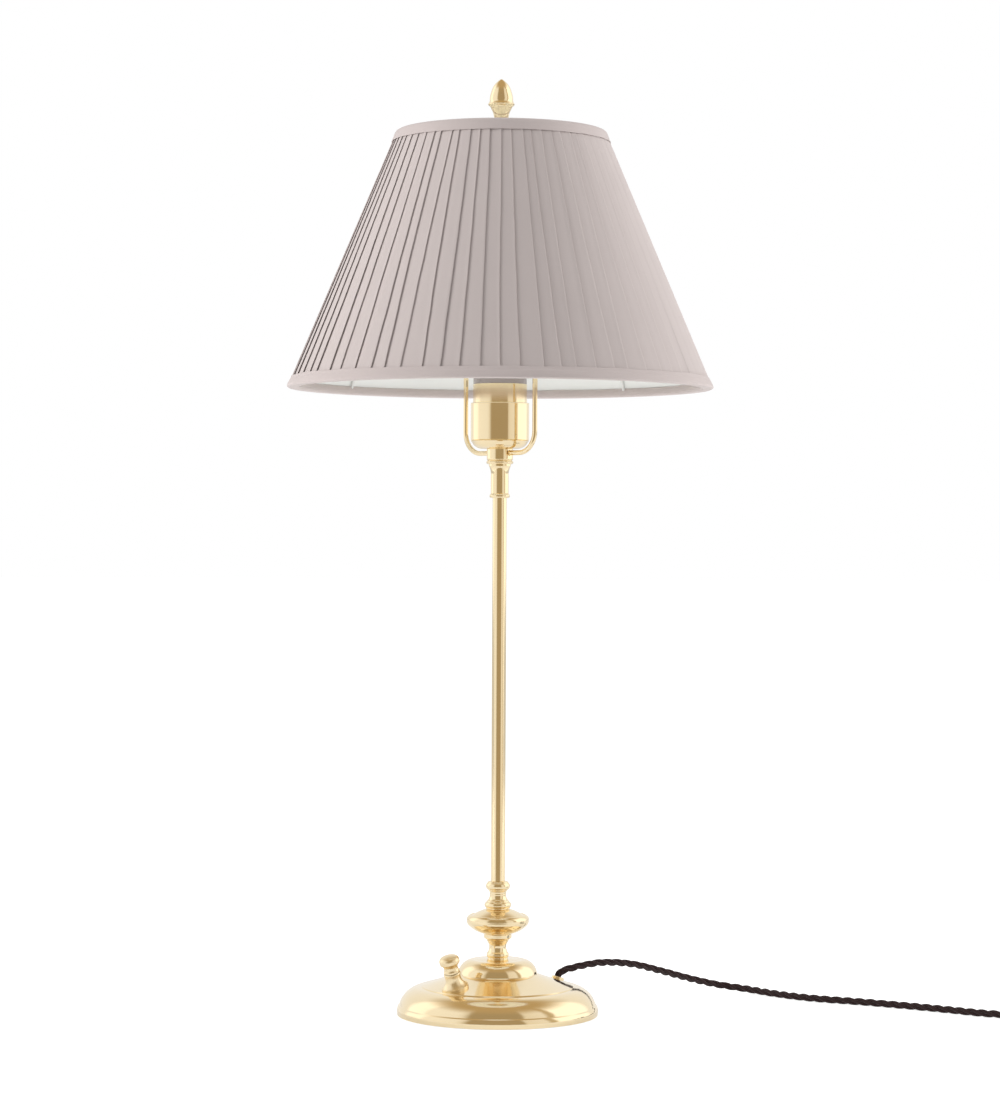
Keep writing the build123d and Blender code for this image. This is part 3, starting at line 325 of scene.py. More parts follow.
def grain_group():
    """Uneven surface of a moulded, cast, felted or plated piece."""
    if "grain" in bpy.data.node_groups:
        return bpy.data.node_groups["grain"]
    tree, entry, leave = new_group(
        "grain",
        [("Vector", VECTOR, None), ("Colour", COLOUR, (0.5, 0.5, 0.5, 1.0)),
         ("Scale", FLOAT, 800.0), ("Contrast", FLOAT, 0.1),
         ("Roughness", FLOAT, 0.5), ("Spread", FLOAT, 0.1)],
        [("Colour", COLOUR), ("Roughness", FLOAT), ("Height", FLOAT)])
    fine = noise_node(tree, entry["Vector"], entry["Scale"], 3.0)
    coarse = noise_node(tree, entry["Vector"], 70.0, 2.0)
    mixed = math_node(tree, "ADD", math_node(tree, "MULTIPLY", fine, 0.6),
                      math_node(tree, "MULTIPLY", coarse, 0.4))
    offset = math_node(tree, "SUBTRACT", mixed, 0.5)
    tree.links.new(math_node(tree, "MULTIPLY_ADD", offset, entry["Spread"], entry["Roughness"]),
                   leave["Roughness"])
    tree.links.new(fine, leave["Height"])
    tinted(tree, entry["Colour"], offset, entry["Contrast"], leave["Colour"])
    return tree


def shaded(name, group, coordinates, inputs, bump, **sockets):
    """Material whose Principled BSDF takes its colour, roughness and bump from a group."""
    if name in bpy.data.materials:
        return bpy.data.materials[name]
    made = bpy.data.materials.new(name)
    made.use_nodes = True
    tree = made.node_tree
    surface = tree.nodes["Principled BSDF"]
    where = add_node(tree, "ShaderNodeTexCoord")
    pattern = add_node(tree, "ShaderNodeGroup", node_tree=group)
    tree.links.new(where.outputs[coordinates], pattern.inputs["Vector"])
    for label, value in inputs.items():
        if hasattr(value, "__len__"):
            value = (*value[:3], 1.0)
        pattern.inputs[label].default_value = value
    tree.links.new(pattern.outputs["Colour"], surface.inputs["Base Color"])
    if "Roughness" in pattern.outputs:
        tree.links.new(pattern.outputs["Roughness"], surface.inputs["Roughness"])
    if bump:
        relief = add_node(tree, "ShaderNodeBump")
        relief.inputs["Strength"].default_value = 1.0
        relief.inputs["Distance"].default_value = bump
        tree.links.new(pattern.outputs["Height"], relief.inputs["Height"])
        tree.links.new(relief.outputs["Normal"], surface.inputs["Normal"])
    for label, value in sockets.items():
        surface.inputs[label.replace("_", " ")].default_value = value
    return made


def brass_finish(name="lacquered_brass", roughness=0.0):
    """Lacquered brass, rougher than the polished one by the given amount."""
    lamp = bpy.context.scene.lamp_brass
    return shaded(
        name, polish_group(), "Object",
        {"Colour": lamp.colour, "Roughness": lamp.roughness + roughness, "Spread": 0.03,
         "Patina": 0.04},
        bump=0.0000012, Metallic=1.0, Coat_Weight=0.25, Coat_Roughness=0.05)


def metal_finish(name, colour, roughness):
    """Bare, plated or turned metal."""
    return shaded(
        name, polish_group(), "Object",
        {"Colour": colour, "Roughness": roughness, "Spread": 0.12, "Patina": 0.12},
        bump=0.000004, Metallic=1.0)


def moulded_finish(name, colour, roughness, scale=900.0, contrast=0.12, bump=0.000006, **sockets):
    """Plastic, cast iron, felt or a coating, with a fine grain."""
    return shaded(
        name, grain_group(), "Object",
        {"Colour": colour, "Roughness": roughness, "Spread": 0.12, "Scale": scale,
         "Contrast": contrast},
        bump=bump, **sockets)


def cloth_finish(name, colour, threads, contrast, bump):
    """Woven cloth, with so many threads to the metre."""
    return shaded(
        name, weave_group(), "UV",
        {"Colour": colour, "Threads": threads, "Contrast": contrast},
        bump=bump, Roughness=0.88, Sheen_Weight=0.25, Sheen_Roughness=0.5,
        Specular_IOR_Level=0.25)


# ================================================================ making and placing pieces
def dress(material, slot, *names):
    """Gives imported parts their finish; their shape and place stay."""
    for name in names:
        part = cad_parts[name]
        for entry in part.material_slots:
            entry.material = material


def link_mesh(name, bm):
    """Object at the origin with the finished mesh."""
    mesh = bpy.data.meshes.new(name)
    bm.to_mesh(mesh)
    bm.free()
    return link_data(name, mesh)


def link_data(name, data):
    """Object with the given mesh, curve, light or camera, in the scene."""
    made = bpy.data.objects.new(name, data)
    bpy.context.scene.collection.objects.link(made)
    return made


def place(piece, body, slot, material, *replaced):
    """Finish of a new piece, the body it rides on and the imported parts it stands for."""
    piece.data.materials.clear()
    piece.data.materials.append(material)
    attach(piece, body)
    if replaced:
        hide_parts(*replaced)


def smooth(piece, angle=40.0):
    """Soft shading, with edges sharper than the angle left crisp."""
    for face in piece.data.polygons:
        face.use_smooth = True
    piece.data.set_sharp_from_angle(angle=radians(angle))


def chain(bm, points, closed=False):
    """Vertices joined by edges, in order."""
    verts = [bm.verts.new(point) for point in points]
    ends = verts[1:] + verts[:1] if closed else verts[1:]
    edges = [bm.edges.new(pair) for pair in zip(verts, ends)]
    return verts, edges


def turn_outline(bm, points, steps, closed=False):
    """Spins an outline of (radius, height) points once round the lamp's axis."""
    verts, edges = chain(bm, [(radius, 0.0, height) for radius, height in points], closed)
    bmesh.ops.spin(bm, geom=verts + edges, cent=(0, 0, 0), axis=(0, 0, 1),
                   angle=2 * pi, steps=steps, use_merge=True)
    bmesh.ops.remove_doubles(bm, verts=bm.verts[:], dist=1e-7)
    bmesh.ops.recalc_face_normals(bm, faces=bm.faces[:])


def rounded(points, radius, segments):
    """Closed (radius, height) outline with each corner rounded by a curve through it."""
    made = []
    count = len(points)
    for index, corner in enumerate(points):
        here = Vector(corner)
        before = Vector(points[index - 1]) - here
        after = Vector(points[(index + 1) % count]) - here
        start = here + before.normalized() * min(radius, before.length * 0.45)
        end = here + after.normalized() * min(radius, after.length * 0.45)
        for step in range(segments + 1):
            share = step / segments
            made.append(start.lerp(here, share).lerp(here.lerp(end, share), share))
    return [(point.x, point.y) for point in made]


def wrap_uv(bm, radius):
    """UV map in metres: round the axis at one radius, and up."""
    layer = bm.loops.layers.uv.new("UVMap")
    for face in bm.faces:
        middle = face.calc_center_median()
        centre = atan2(middle.y, middle.x)
        for corner in face.loops:
            co = corner.vert.co
            angle = atan2(co.y, co.x)
            if angle - centre > pi:
                angle -= 2 * pi
            elif centre - angle > pi:
                angle += 2 * pi
            corner[layer].uv = (angle * radius, co.z)


def cone_radius(height):
    """Radius at a height of the circle through the pleats' outer folds."""
    share = (height - SHADE_FOOT) / (SHADE_HEAD - SHADE_FOOT)
    return SHADE_FOOT_RADIUS + share * (SHADE_HEAD_RADIUS - SHADE_FOOT_RADIUS)


# ================================================================ stage
ROOM = [                        # degrees round from the camera's side, brightness and warmth
    (-180, 0.95, 0.0), (-132, 0.95, 0.0), (-124, 1.32, 0.0), (-100, 1.30, 0.0),
    (-92, 1.02, 0.0), (-50, 0.97, 0.0), (-42, 0.86, 0.2), (-34, 0.42, 1.0), (31, 0.42, 1.0),
    (34, 0.86, 0.3), (60, 0.92, 0.1), (64, 0.58, 0.9), (71, 0.58, 0.9), (75, 1.35, 0.0),
    (126, 1.35, 0.0), (134, 0.95, 0.0), (180, 0.95, 0.0),
]
ROOM_ABOVE = (0.26, 0.195, 0.11)    # colour straight up, before WORLD_STRENGTH
ROOM_WALL_TOP = 0.60            # where the walls begin to turn into the ceiling, 1 is straight up
ROOM_CEILING = 0.92             # and where they end
WARM = (1.0, 0.80, 0.51)        # colour of a fully warm stretch of the room
WORLD_STRENGTH = 2.0            # the room's colours are held below 1 and made brighter by this
FLOOR_HALF = 12.0               # half the floor's side
FLOOR_GREY = 0.74
FLOOR_GLOW = {                  # the floor's own light, as each kind of ray meets it
    "Is Glossy Ray": 0.26, "Is Diffuse Ray": 0.47, "Is Camera Ray": 0.70,
}
CAMERA_ASIDE = 0.00035          # how far the camera stands right of the lamp's axis
SOFTBOXES = (                   # side, share of the power, and how far ahead of the axis
    (-1, 1.2, 0.38),
    (1, 1.1, -0.05),
)
SOFTBOX_WIDE, SOFTBOX_HIGH = 1.1, 1.25
SOFTBOX_ASIDE = 1.7
SOFTBOX_HEIGHT = 1.0
SOFTBOX_AIM = Vector((0.0, 0.0, 0.42))


class LAMP_OT_stage(bpy.types.Operator):
    """White studio with two softboxes and the camera"""
    bl_idname = "lamp.stage"
    bl_label = "Stage"

    def execute(self, context):
        stage = context.scene.lamp_stage
        self.camera(stage)
        self.floor(stage)
        self.world(stage)
        self.lamps(stage)
        context.scene.view_settings.view_transform = "Standard"
        return {"FINISHED"}

    def camera(self, stage):
        data = bpy.data.cameras.new("camera")
        data.lens = stage.lens
        data.sensor_width = 36.0
        data.clip_end = 50.0
        camera = link_data("camera", data)
        camera.location = (CAMERA_ASIDE, -stage.camera_distance, stage.camera_height)
        look_down = radians(0.29)
        lean = radians(-0.25)
        camera.rotation_euler = (pi / 2 - look_down, lean, 0.0)
        bpy.context.scene.camera = camera

    def floor(self, stage):
        bm = bmesh.new()
        bmesh.ops.create_grid(bm, x_segments=1, y_segments=1, size=FLOOR_HALF)
        bmesh.ops.translate(bm, vec=(0, FLOOR_HALF - stage.floor_ahead, 0), verts=bm.verts[:])
        floor = link_mesh("floor", bm)
        made = bpy.data.materials.new("white_floor")
        made.use_nodes = True
        tree = made.node_tree
        surface = tree.nodes["Principled BSDF"]
        surface.inputs["Base Color"].default_value = (FLOOR_GREY, FLOOR_GREY, FLOOR_GREY, 1.0)
        surface.inputs["Roughness"].default_value = 0.9
        surface.inputs["Specular IOR Level"].default_value = 0.0
        surface.inputs["Emission Color"].default_value = (1.0, 1.0, 1.0, 1.0)
        path = add_node(tree, "ShaderNodeLightPath")
        glow = 0.0
        for ray, share in FLOOR_GLOW.items():
            glow = math_node(tree, "MULTIPLY_ADD", path.outputs[ray], share, glow)
        tree.links.new(glow, surface.inputs["Emission Strength"])
        floor.data.materials.append(made)

    def world(self, stage):
        world = bpy.data.worlds.new("studio")
        bpy.context.scene.world = world
        world.use_nodes = True
        tree = world.node_tree
        tree.nodes.clear()
        where = add_node(tree, "ShaderNodeTexCoord")
        x, y, z = split_node(tree, where.outputs["Generated"])
        turn = math_node(tree, "ARCTAN2", x, math_node(tree, "MULTIPLY", y, -1.0))
        ramp = add_node(tree, "ShaderNodeValToRGB")
        tree.links.new(math_node(tree, "MULTIPLY_ADD", turn, 0.5 / pi, 0.5), ramp.inputs[0])
        stops = ramp.color_ramp.elements
        stops.remove(stops[-1])
        for index, (angle, level, warmth) in enumerate(ROOM):
            position = angle / 360 + 0.5
            stop = stops[0] if index == 0 else stops.new(position)
            stop.position = position
            colour = [level / WORLD_STRENGTH * (1 - warmth * (1 - share)) for share in WARM]
            stop.color = (*colour, 1.0)
        lift = add_node(tree, "ShaderNodeMapRange")
        lift.interpolation_type = "SMOOTHSTEP"
        lift.inputs["From Min"].default_value = ROOM_WALL_TOP
        lift.inputs["From Max"].default_value = ROOM_CEILING
        tree.links.new(z, lift.inputs["Value"])
        room = mixed_colour(tree, lift.outputs[0], ramp.outputs["Color"], ROOM_ABOVE)
        path = add_node(tree, "ShaderNodeLightPath")
        lit = mixed_colour(tree, path.outputs["Is Glossy Ray"], stage.ambient / WORLD_STRENGTH,
                           room)
        seen = math_node(tree, "ADD", path.outputs["Is Camera Ray"],
                         path.outputs["Is Transmission Ray"], clamp=True)
        light = add_node(tree, "ShaderNodeBackground")
        light.inputs["Strength"].default_value = WORLD_STRENGTH
        colour = mixed_colour(tree, seen, lit, stage.background / WORLD_STRENGTH)
        tree.links.new(colour, light.inputs["Color"])
        leave = add_node(tree, "ShaderNodeOutputWorld")
        tree.links.new(light.outputs[0], leave.inputs[0])

    def lamps(self, stage):
        for side, share, ahead in SOFTBOXES:
            data = bpy.data.lights.new("softbox", "AREA")
            data.shape = "RECTANGLE"
            data.size = SOFTBOX_WIDE
            data.size_y = SOFTBOX_HIGH
            data.energy = stage.softbox * share
            lamp = link_data("softbox", data)
            lamp.visible_glossy = False     # the room's own bright sides show in the metal
            lamp.location = (side * SOFTBOX_ASIDE, -ahead, SOFTBOX_HEIGHT)
            aim = SOFTBOX_AIM - lamp.location
            lamp.rotation_euler = aim.to_track_quat("-Z", "Y").to_euler()


# ================================================================ cord
def gland_frame():
    """Mouth of the cord outlet, and the way it points: square to the dome's slope."""
    lean = radians(17.745)      # of the dome where the outlet stands
    turn = radians(29.0)        # round from the side where the cord lies
    radius, height = 49.0, 22.072   # of the outlet's foot, in millimetres
    rim = 1.5 * MM              # from the foot to the mouth
    way = Vector((sin(lean) * cos(turn), sin(lean) * sin(turn), cos(lean)))
    foot = Vector((radius * cos(turn), radius * sin(turn), height)) * MM
    return foot + way * rim, way


def coil_points():
    """Turns of the coil: inwards below, up one layer, and outwards again on top."""
    pull = 0.75 + 0.25 * cos(radians(COIL_STEP))    # the line runs this much inside its points
    radii = [COIL_RADIUS - n * COIL_PITCH / 2 for n in range(COIL_HALF_TURNS)]
    climb = COIL_RADIUS - COIL_HALF_TURNS * COIL_PITCH / 2
    top = COIL_FLOOR + COIL_PITCH
    stretches = [(radius, COIL_FLOOR, COIL_FLOOR, 180) for radius in radii]
    stretches.append((climb, COIL_FLOOR, top, 180))
    stretches += [(radius, top, top, 180) for radius in reversed(radii[1:])]
    stretches.append((radii[0], top, top, 90))
    here = COIL_CENTRE - Vector((0.0, COIL_RADIUS, 0.0))
    angle = -90
    points = []
    for radius, low, high, sweep in stretches:
        out = Vector((cos(radians(angle)), sin(radians(angle)), 0.0))
        centre = here - out * radius
        for step in range(COIL_STEP // 2, sweep, COIL_STEP):
            turn = radians(angle + step)
            rise = low + (high - low) * (0.5 - 0.5 * cos(pi * step / sweep))
            points.append(centre + Vector((cos(turn), sin(turn), 0)) * radius / pull
                          + Vector((0, 0, rise)))
        angle += sweep
        out = Vector((cos(radians(angle)), sin(radians(angle)), 0.0))
        here = centre + out * radius
    return points, here + Vector((0, 0, top))


def cord_route():
    """All points of the cord's line, from inside the outlet to inside the plug's boot."""
    mouth, way = gland_frame()
    floor = CORD_FLOOR / MM
    coil_floor = COIL_FLOOR / MM
    coil, leave = coil_points()
    laid = [
        (53.0, 30.2, 28.8), (63.5, 37.4, 30.2), (76.0, 46.0, 31.0), (97.0, 61.5, 28.0),
        (118.0, 79.0, 20.6), (144.0, 99.5, 11.0), (165.0, 112.0, 5.0), (184.0, 106.0, 3.4),
        (203.0, 86.0, floor), (229.0, 63.0, floor), (268.0, 46.0, floor), (312.0, 19.0, floor),
        (352.0, -10.0, floor), (383.0, -18.8, coil_floor), (406.6, -18.8, coil_floor),
    ]
    boot = (PLUG_AXIS - COIL_FLOOR - COIL_PITCH) / MM
    lifted = [(0.0, 8.0, 0.0), (0.0, 20.4, 0.0), (0.0, 42.4, boot), (0.0, 60.4, boot)]
    start = [mouth - way * 4 * MM, mouth, mouth + way * 3.6 * MM]
    return (start + [Vector(point) * MM for point in laid] + coil
            + [leave + Vector(point) * MM for point in lifted])


def cord_line(points):
    """Smooth line with the route's points as its control points."""
    data = bpy.data.curves.new("cord_line", "CURVE")
    data.dimensions = "3D"
    data.resolution_u = 24
    spline = data.splines.new("NURBS")
    spline.points.add(len(points) - 1)
    for entry, point in zip(spline.points, points):
        entry.co = (*point, 1.0)
    spline.order_u = 3
    spline.use_endpoint_u = True
    return link_data("cord_line", data)


def even_points(line, step):
    """Points at even distances along a curve object's own line."""
    mesh = bpy.data.meshes.new_from_object(line)
    raw = [vert.co.copy() for vert in mesh.vertices]
    bpy.data.meshes.remove(mesh)
    total = sum((b - a).length for a, b in zip(raw, raw[1:]))
    count = ceil(total / step)
    step = total / count
    made = [raw[0]]
    due = step
    done = 0.0
    for a, b in zip(raw, raw[1:]):
        length = (b - a).length
        while done + length >= due - 1e-9 and len(made) < count:
            made.append(a.lerp(b, (due - done) / length))
            due += step
        done += length
    made.append(raw[-1])
    return made, total


def strand_paths(points, total, lay, offset, strands=3):
    """Paths of the strands that turn round a line, once in each lay."""
    side = Vector((0, 0, 1)).cross(points[1] - points[0]).normalized()
    paths = [[] for _ in range(strands)]
    step = total / (len(points) - 1)
    way = (points[1] - points[0]).normalized()
    for index, point in enumerate(points):
        ahead = points[min(index + 1, len(points) - 1)]
        behind = points[max(index - 1, 0)]
        now = (ahead - behind).normalized()
        side = way.rotation_difference(now) @ side
        way = now
        for strand, path in enumerate(paths):
            angle = 2 * pi * (index * step / lay + strand / strands)
            path.append(point + Quaternion(now, angle) @ side * offset)
    return paths


def tube_mesh(name, paths, radius, resolution):
    """Round tubes along paths, as one mesh with a UV map: round, and along in the same scale."""
    data = bpy.data.curves.new(name, "CURVE")
    data.dimensions = "3D"
    data.bevel_depth = radius
    data.bevel_resolution = resolution
    for path in paths:
        spline = data.splines.new("POLY")
        spline.points.add(len(path) - 1)
        for entry, point in zip(spline.points, path):
            entry.co = (*point, 1.0)
    guide = link_data(name + "_guide", data)
    mesh = bpy.data.meshes.new_from_object(guide)
    bpy.data.objects.remove(guide)
    rings = sum(len(path) for path in paths)
    sides = len(mesh.vertices) // rings
    layer = mesh.uv_layers.get("UVMap") or mesh.uv_layers.new(name="UVMap")
    pitch = (paths[0][1] - paths[0][0]).length / (2 * pi * radius)
    for face in mesh.polygons:
        rims = [mesh.loops[loop].vertex_index % sides for loop in face.loop_indices]
        wraps = sides - 1 in rims and 0 in rims
        for loop, rim in zip(face.loop_indices, rims):
            ring = mesh.loops[loop].vertex_index // sides
            round_share = 1.0 if wraps and rim == 0 else rim / sides
            layer.data[loop].uv = (round_share, ring * pitch)
        face.use_smooth = True
    mesh.materials.clear()
    return mesh


class LAMP_OT_cord(bpy.types.Operator):
    """Three-strand twisted textile cord along its route, with its coil"""
    bl_idname = "lamp.cord"
    bl_label = "Cord"

    def execute(self, context):
        cord = context.scene.lamp_cord
        line = cord_line(cord_route())
        points, total = even_points(line, CORD_STEP)
        bpy.data.objects.remove(line)
        offset = CORD_RADIUS - cord.strand / 2
        paths = strand_paths(points, total, cord.lay, offset)
        mesh = tube_mesh("cord", paths, cord.strand / 2, 3)
        piece = link_data("cord", mesh)
        # The braid's Contrast sets how strongly its painted shade and highlight show.
        finish = shaded(
            "brown_textile", braid_group(), "UV",
            {"Colour": cord.colour, "Carriers": 8.0, "Contrast": 0.8},
            bump=0.00012, Sheen_Weight=0.16, Sheen_Roughness=0.4, Specular_IOR_Level=0.3)
        place(piece, "root", "cord_textile", finish,
              "cord_run", "cord_coil", "cord_tail", "cord_stub")
        mouth, way = gland_frame()
        return {"FINISHED"}


class LAMP_OT_coil_strap(bpy.types.Operator):
    """Hook-and-loop strap round the coil's turns, with its end lapped over"""
    bl_idname = "lamp.coil_strap"
    bl_label = "Coil strap"

    def execute(self, context):
        low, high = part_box("coil_tie")
        middle = (low + high) / 2
        bm = bmesh.new()
        loop = bmesh.ops.create_circle(bm, cap_ends=False, segments=56, radius=1.0)["verts"]
        thick = 0.4 * MM
        wide = (high.y - low.y) / 2 - thick
        tall = (high.z - low.z) / 2 - thick
        for vert in loop:
            x, y = vert.co.x, vert.co.y
            squared = (abs(x) ** 6 + abs(y) ** 6) ** (-1 / 6)
            vert.co = Vector((low.x + thick / 2, middle.y + x * squared * wide,
                              middle.z + y * squared * tall))
        made = bmesh.ops.extrude_edge_only(bm, edges=bm.edges[:])
        band = [item for item in made["geom"] if isinstance(item, bmesh.types.BMVert)]
        bmesh.ops.translate(bm, vec=(high.x - low.x - thick, 0, 0), verts=band)
        lap = [face for face in bm.faces
               if face.calc_center_median().z > middle.z + tall * 0.9
               and face.calc_center_median().y > middle.y - wide * 0.6]
        doubled = bmesh.ops.duplicate(bm, geom=lap)
        raised = [item for item in doubled["geom"] if isinstance(item, bmesh.types.BMVert)]
        slack = 0.05 * MM       # between the strap and its lapped end
        bmesh.ops.translate(bm, vec=(0, 0, thick + slack), verts=raised)
        bmesh.ops.recalc_face_normals(bm, faces=bm.faces[:])
        layer = bm.loops.layers.uv.new("UVMap")
        for face in bm.faces:
            for corner in face.loops:
                co = corner.vert.co
                corner[layer].uv = (co.x, co.y + co.z)
        piece = link_mesh("coil_strap", bm)
        wall = piece.modifiers.new("thickness", "SOLIDIFY")
        wall.thickness = thick
        wall.offset = 0.0
        smooth(piece)
        place(piece, "root", "tie_strap",
              cloth_finish("black_strap", (0.012, 0.011, 0.011), threads=1200.0, contrast=0.5,
                           bump=0.0002), "coil_tie")
        return {"FINISHED"}


class LAMP_OT_plug(bpy.types.Operator):
    """Moulded plug with its boot, two pins and two side contacts"""
    bl_idname = "lamp.plug"
    bl_label = "Plug"

    def execute(self, context):
        brown = moulded_finish("brown_moulding", (0.036, 0.020, 0.016), 0.32, bump=0.00001)
        dress(brown, "plug_plastic", "plug_body")
        rubber = moulded_finish("brown_rubber", (0.030, 0.018, 0.015), 0.55, bump=0.00002)
        dress(rubber, "plug_plastic", "plug_boot")
        dress(metal_finish("nickel_plate", (0.72, 0.70, 0.66), 0.18), "pin_metal",
              "plug_pins", "plug_earth_clips")
        return {"FINISHED"}


# ================================================================ brass and metal parts
class LAMP_OT_base(bpy.types.Operator):
    """Spun brass dome over its iron weight, steel plate and felt"""
    bl_idname = "lamp.base"
    bl_label = "Base"

    def execute(self, context):
        dress(brass_finish(), "brass", "base_shell")
        iron = moulded_finish("cast_iron", (0.035, 0.035, 0.038), 0.6, scale=500.0, contrast=0.4,
                              bump=0.0001, Metallic=0.6)
        dress(iron, "iron", "base_weight")
        zinc = metal_finish("zinc_steel", (0.50, 0.50, 0.49), 0.35)
        dress(zinc, "steel", "bottom_plate", "plate_screws", "base_washer", "base_nut",
              "holder_nut", "gland_nut", "terminal_screws")
        felt = moulded_finish("dark_felt", (0.020, 0.018, 0.018), 0.95, scale=1600.0, contrast=0.6,
                              bump=0.0004, Sheen_Weight=0.5)
        dress(felt, "felt", "felt_pad")
        return {"FINISHED"}


class LAMP_OT_column(bpy.types.Operator):
    """Turned brass pieces stacked on the stem tube"""
    bl_idname = "lamp.column"
    bl_label = "Column"

    def execute(self, context):
        dress(brass_finish(), "brass", "column_foot", "knop", "upper_neck", "neck_nut",
              "stem_tube", "stem_sleeve")
        return {"FINISHED"}


class LAMP_OT_harp(bpy.types.Operator):
    """Wire harp, the drum its legs enter and the stud on top"""
    bl_idname = "lamp.harp"
    bl_label = "Harp"

    def execute(self, context):
        dress(brass_finish(), "brass", "harp_collar", "harp", "harp_stud")
        return {"FINISHED"}


class LAMP_OT_lampholder(bpy.types.Operator):
    """Brass cup and sleeve round the insulating core with its threaded shell"""
    bl_idname = "lamp.lampholder"
    bl_label = "Lampholder"

    def execute(self, context):
        dress(brass_finish(), "brass", "lampholder_cup", "lampholder_skirt")
        # The glazed core is white; this darker colour is painted shade, for the shade it sits in
        # under the lampshade.
        glazed = moulded_finish("white_glaze_painted_shade", (0.36, 0.31, 0.29), 0.22, scale=300.0,
                                contrast=0.06, bump=0.000003, Coat_Weight=0.4)
        dress(glazed, "porcelain", "lampholder_core")
        bare = metal_finish("bare_brass", (0.74, 0.60, 0.36), 0.28)
        dress(bare, "shell_metal", "centre_contact")
        self.thread(bare)
        return {"FINISHED"}

    def thread(self, finish):
        """Pressed lamp thread: a rolled wave turned upwards round the axis."""
        low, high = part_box("screw_shell")
        outer = high.x
        lead = 3.62 * MM        # rise in one turn
        wave = 0.55 * MM        # depth of the rolled wave
        wave_points = 8
        steps = 48              # round one turn
        profile = [(outer - wave * (0.5 - 0.5 * cos(2 * pi * n / wave_points)), 0.0,
                    low.z + lead * n / wave_points) for n in range(wave_points + 1)]
        bm = bmesh.new()
        verts, edges = chain(bm, profile)
        turns = int((high.z - low.z) / lead) - 1
        bmesh.ops.spin(bm, geom=verts + edges, cent=(0, 0, 0), axis=(0, 0, 1),
                       dvec=(0, 0, lead / steps), angle=2 * pi * turns, steps=steps * turns)
        bmesh.ops.remove_doubles(bm, verts=bm.verts[:], dist=1e-6)
        bmesh.ops.recalc_face_normals(bm, faces=bm.faces[:])
        piece = link_mesh("threaded_shell", bm)
        wall = piece.modifiers.new("thickness", "SOLIDIFY")
        wall.thickness = 0.3 * MM
        smooth(piece, 60)
        place(piece, "root", "shell_metal", finish, "screw_shell")


class LAMP_OT_finial(bpy.types.Operator):
    """Acorn nut on top of the shade"""
    bl_idname = "lamp.finial"
    bl_label = "Finial"

    def execute(self, context):
        dress(brass_finish(), "brass", "finial")
        return {"FINISHED"}


class LAMP_OT_dimmer(bpy.types.Operator):
    """Rotary dimmer with its bell-shaped nut and knob"""
    bl_idname = "lamp.dimmer"
    bl_label = "Dimmer"

    def execute(self, context):
        dress(brass_finish("satin_brass", 0.20), "brass", "dimmer_knob", "dimmer_collar")
        dress(metal_finish("turned_spindle", (0.62, 0.62, 0.63), 0.3), "spindle_metal",
              "dimmer_spindle")
        dress(moulded_finish("black_housing", (0.02, 0.02, 0.02), 0.5), "black_plastic",
              "dimmer_body")
        return {"FINISHED"}


class LAMP_OT_wiring(bpy.types.Operator):
    """Cord outlet, terminal block and the single wires inside"""
    bl_idname = "lamp.wiring"
    bl_label = "Wiring"

    def execute(self, context):
        dress(brass_finish(), "brass", "cord_gland")
        dress(moulded_finish("block_moulding", (0.66, 0.64, 0.58), 0.35), "block_plastic",
              "terminal_block")
        dress(moulded_finish("wire_cover", (0.10, 0.05, 0.03), 0.45), "wire_plastic",
              "stem_wires", "supply_wires", "dimmer_wires")
        return {"FINISHED"}


# ================================================================ shade
class LAMP_OT_shade_frame(bpy.types.Operator):
    """White wire frame and the stiff lining"""
    bl_idname = "lamp.shade_frame"
    bl_label = "Shade frame"

    def execute(self, context):
        shade = context.scene.lamp_shade
        coated = moulded_finish("white_coating", (0.88, 0.88, 0.86), 0.35, bump=0.000005)
        dress(coated, "frame_wire", "shade_spider", "shade_top_ring", "shade_bottom_ring",
              "shade_struts")
        lining = moulded_finish("white_lining", shade.lining, 0.55, scale=220.0, contrast=0.03,
                                bump=0.00001)
        dress(lining, "lining", "shade_backing")
        return {"FINISHED"}


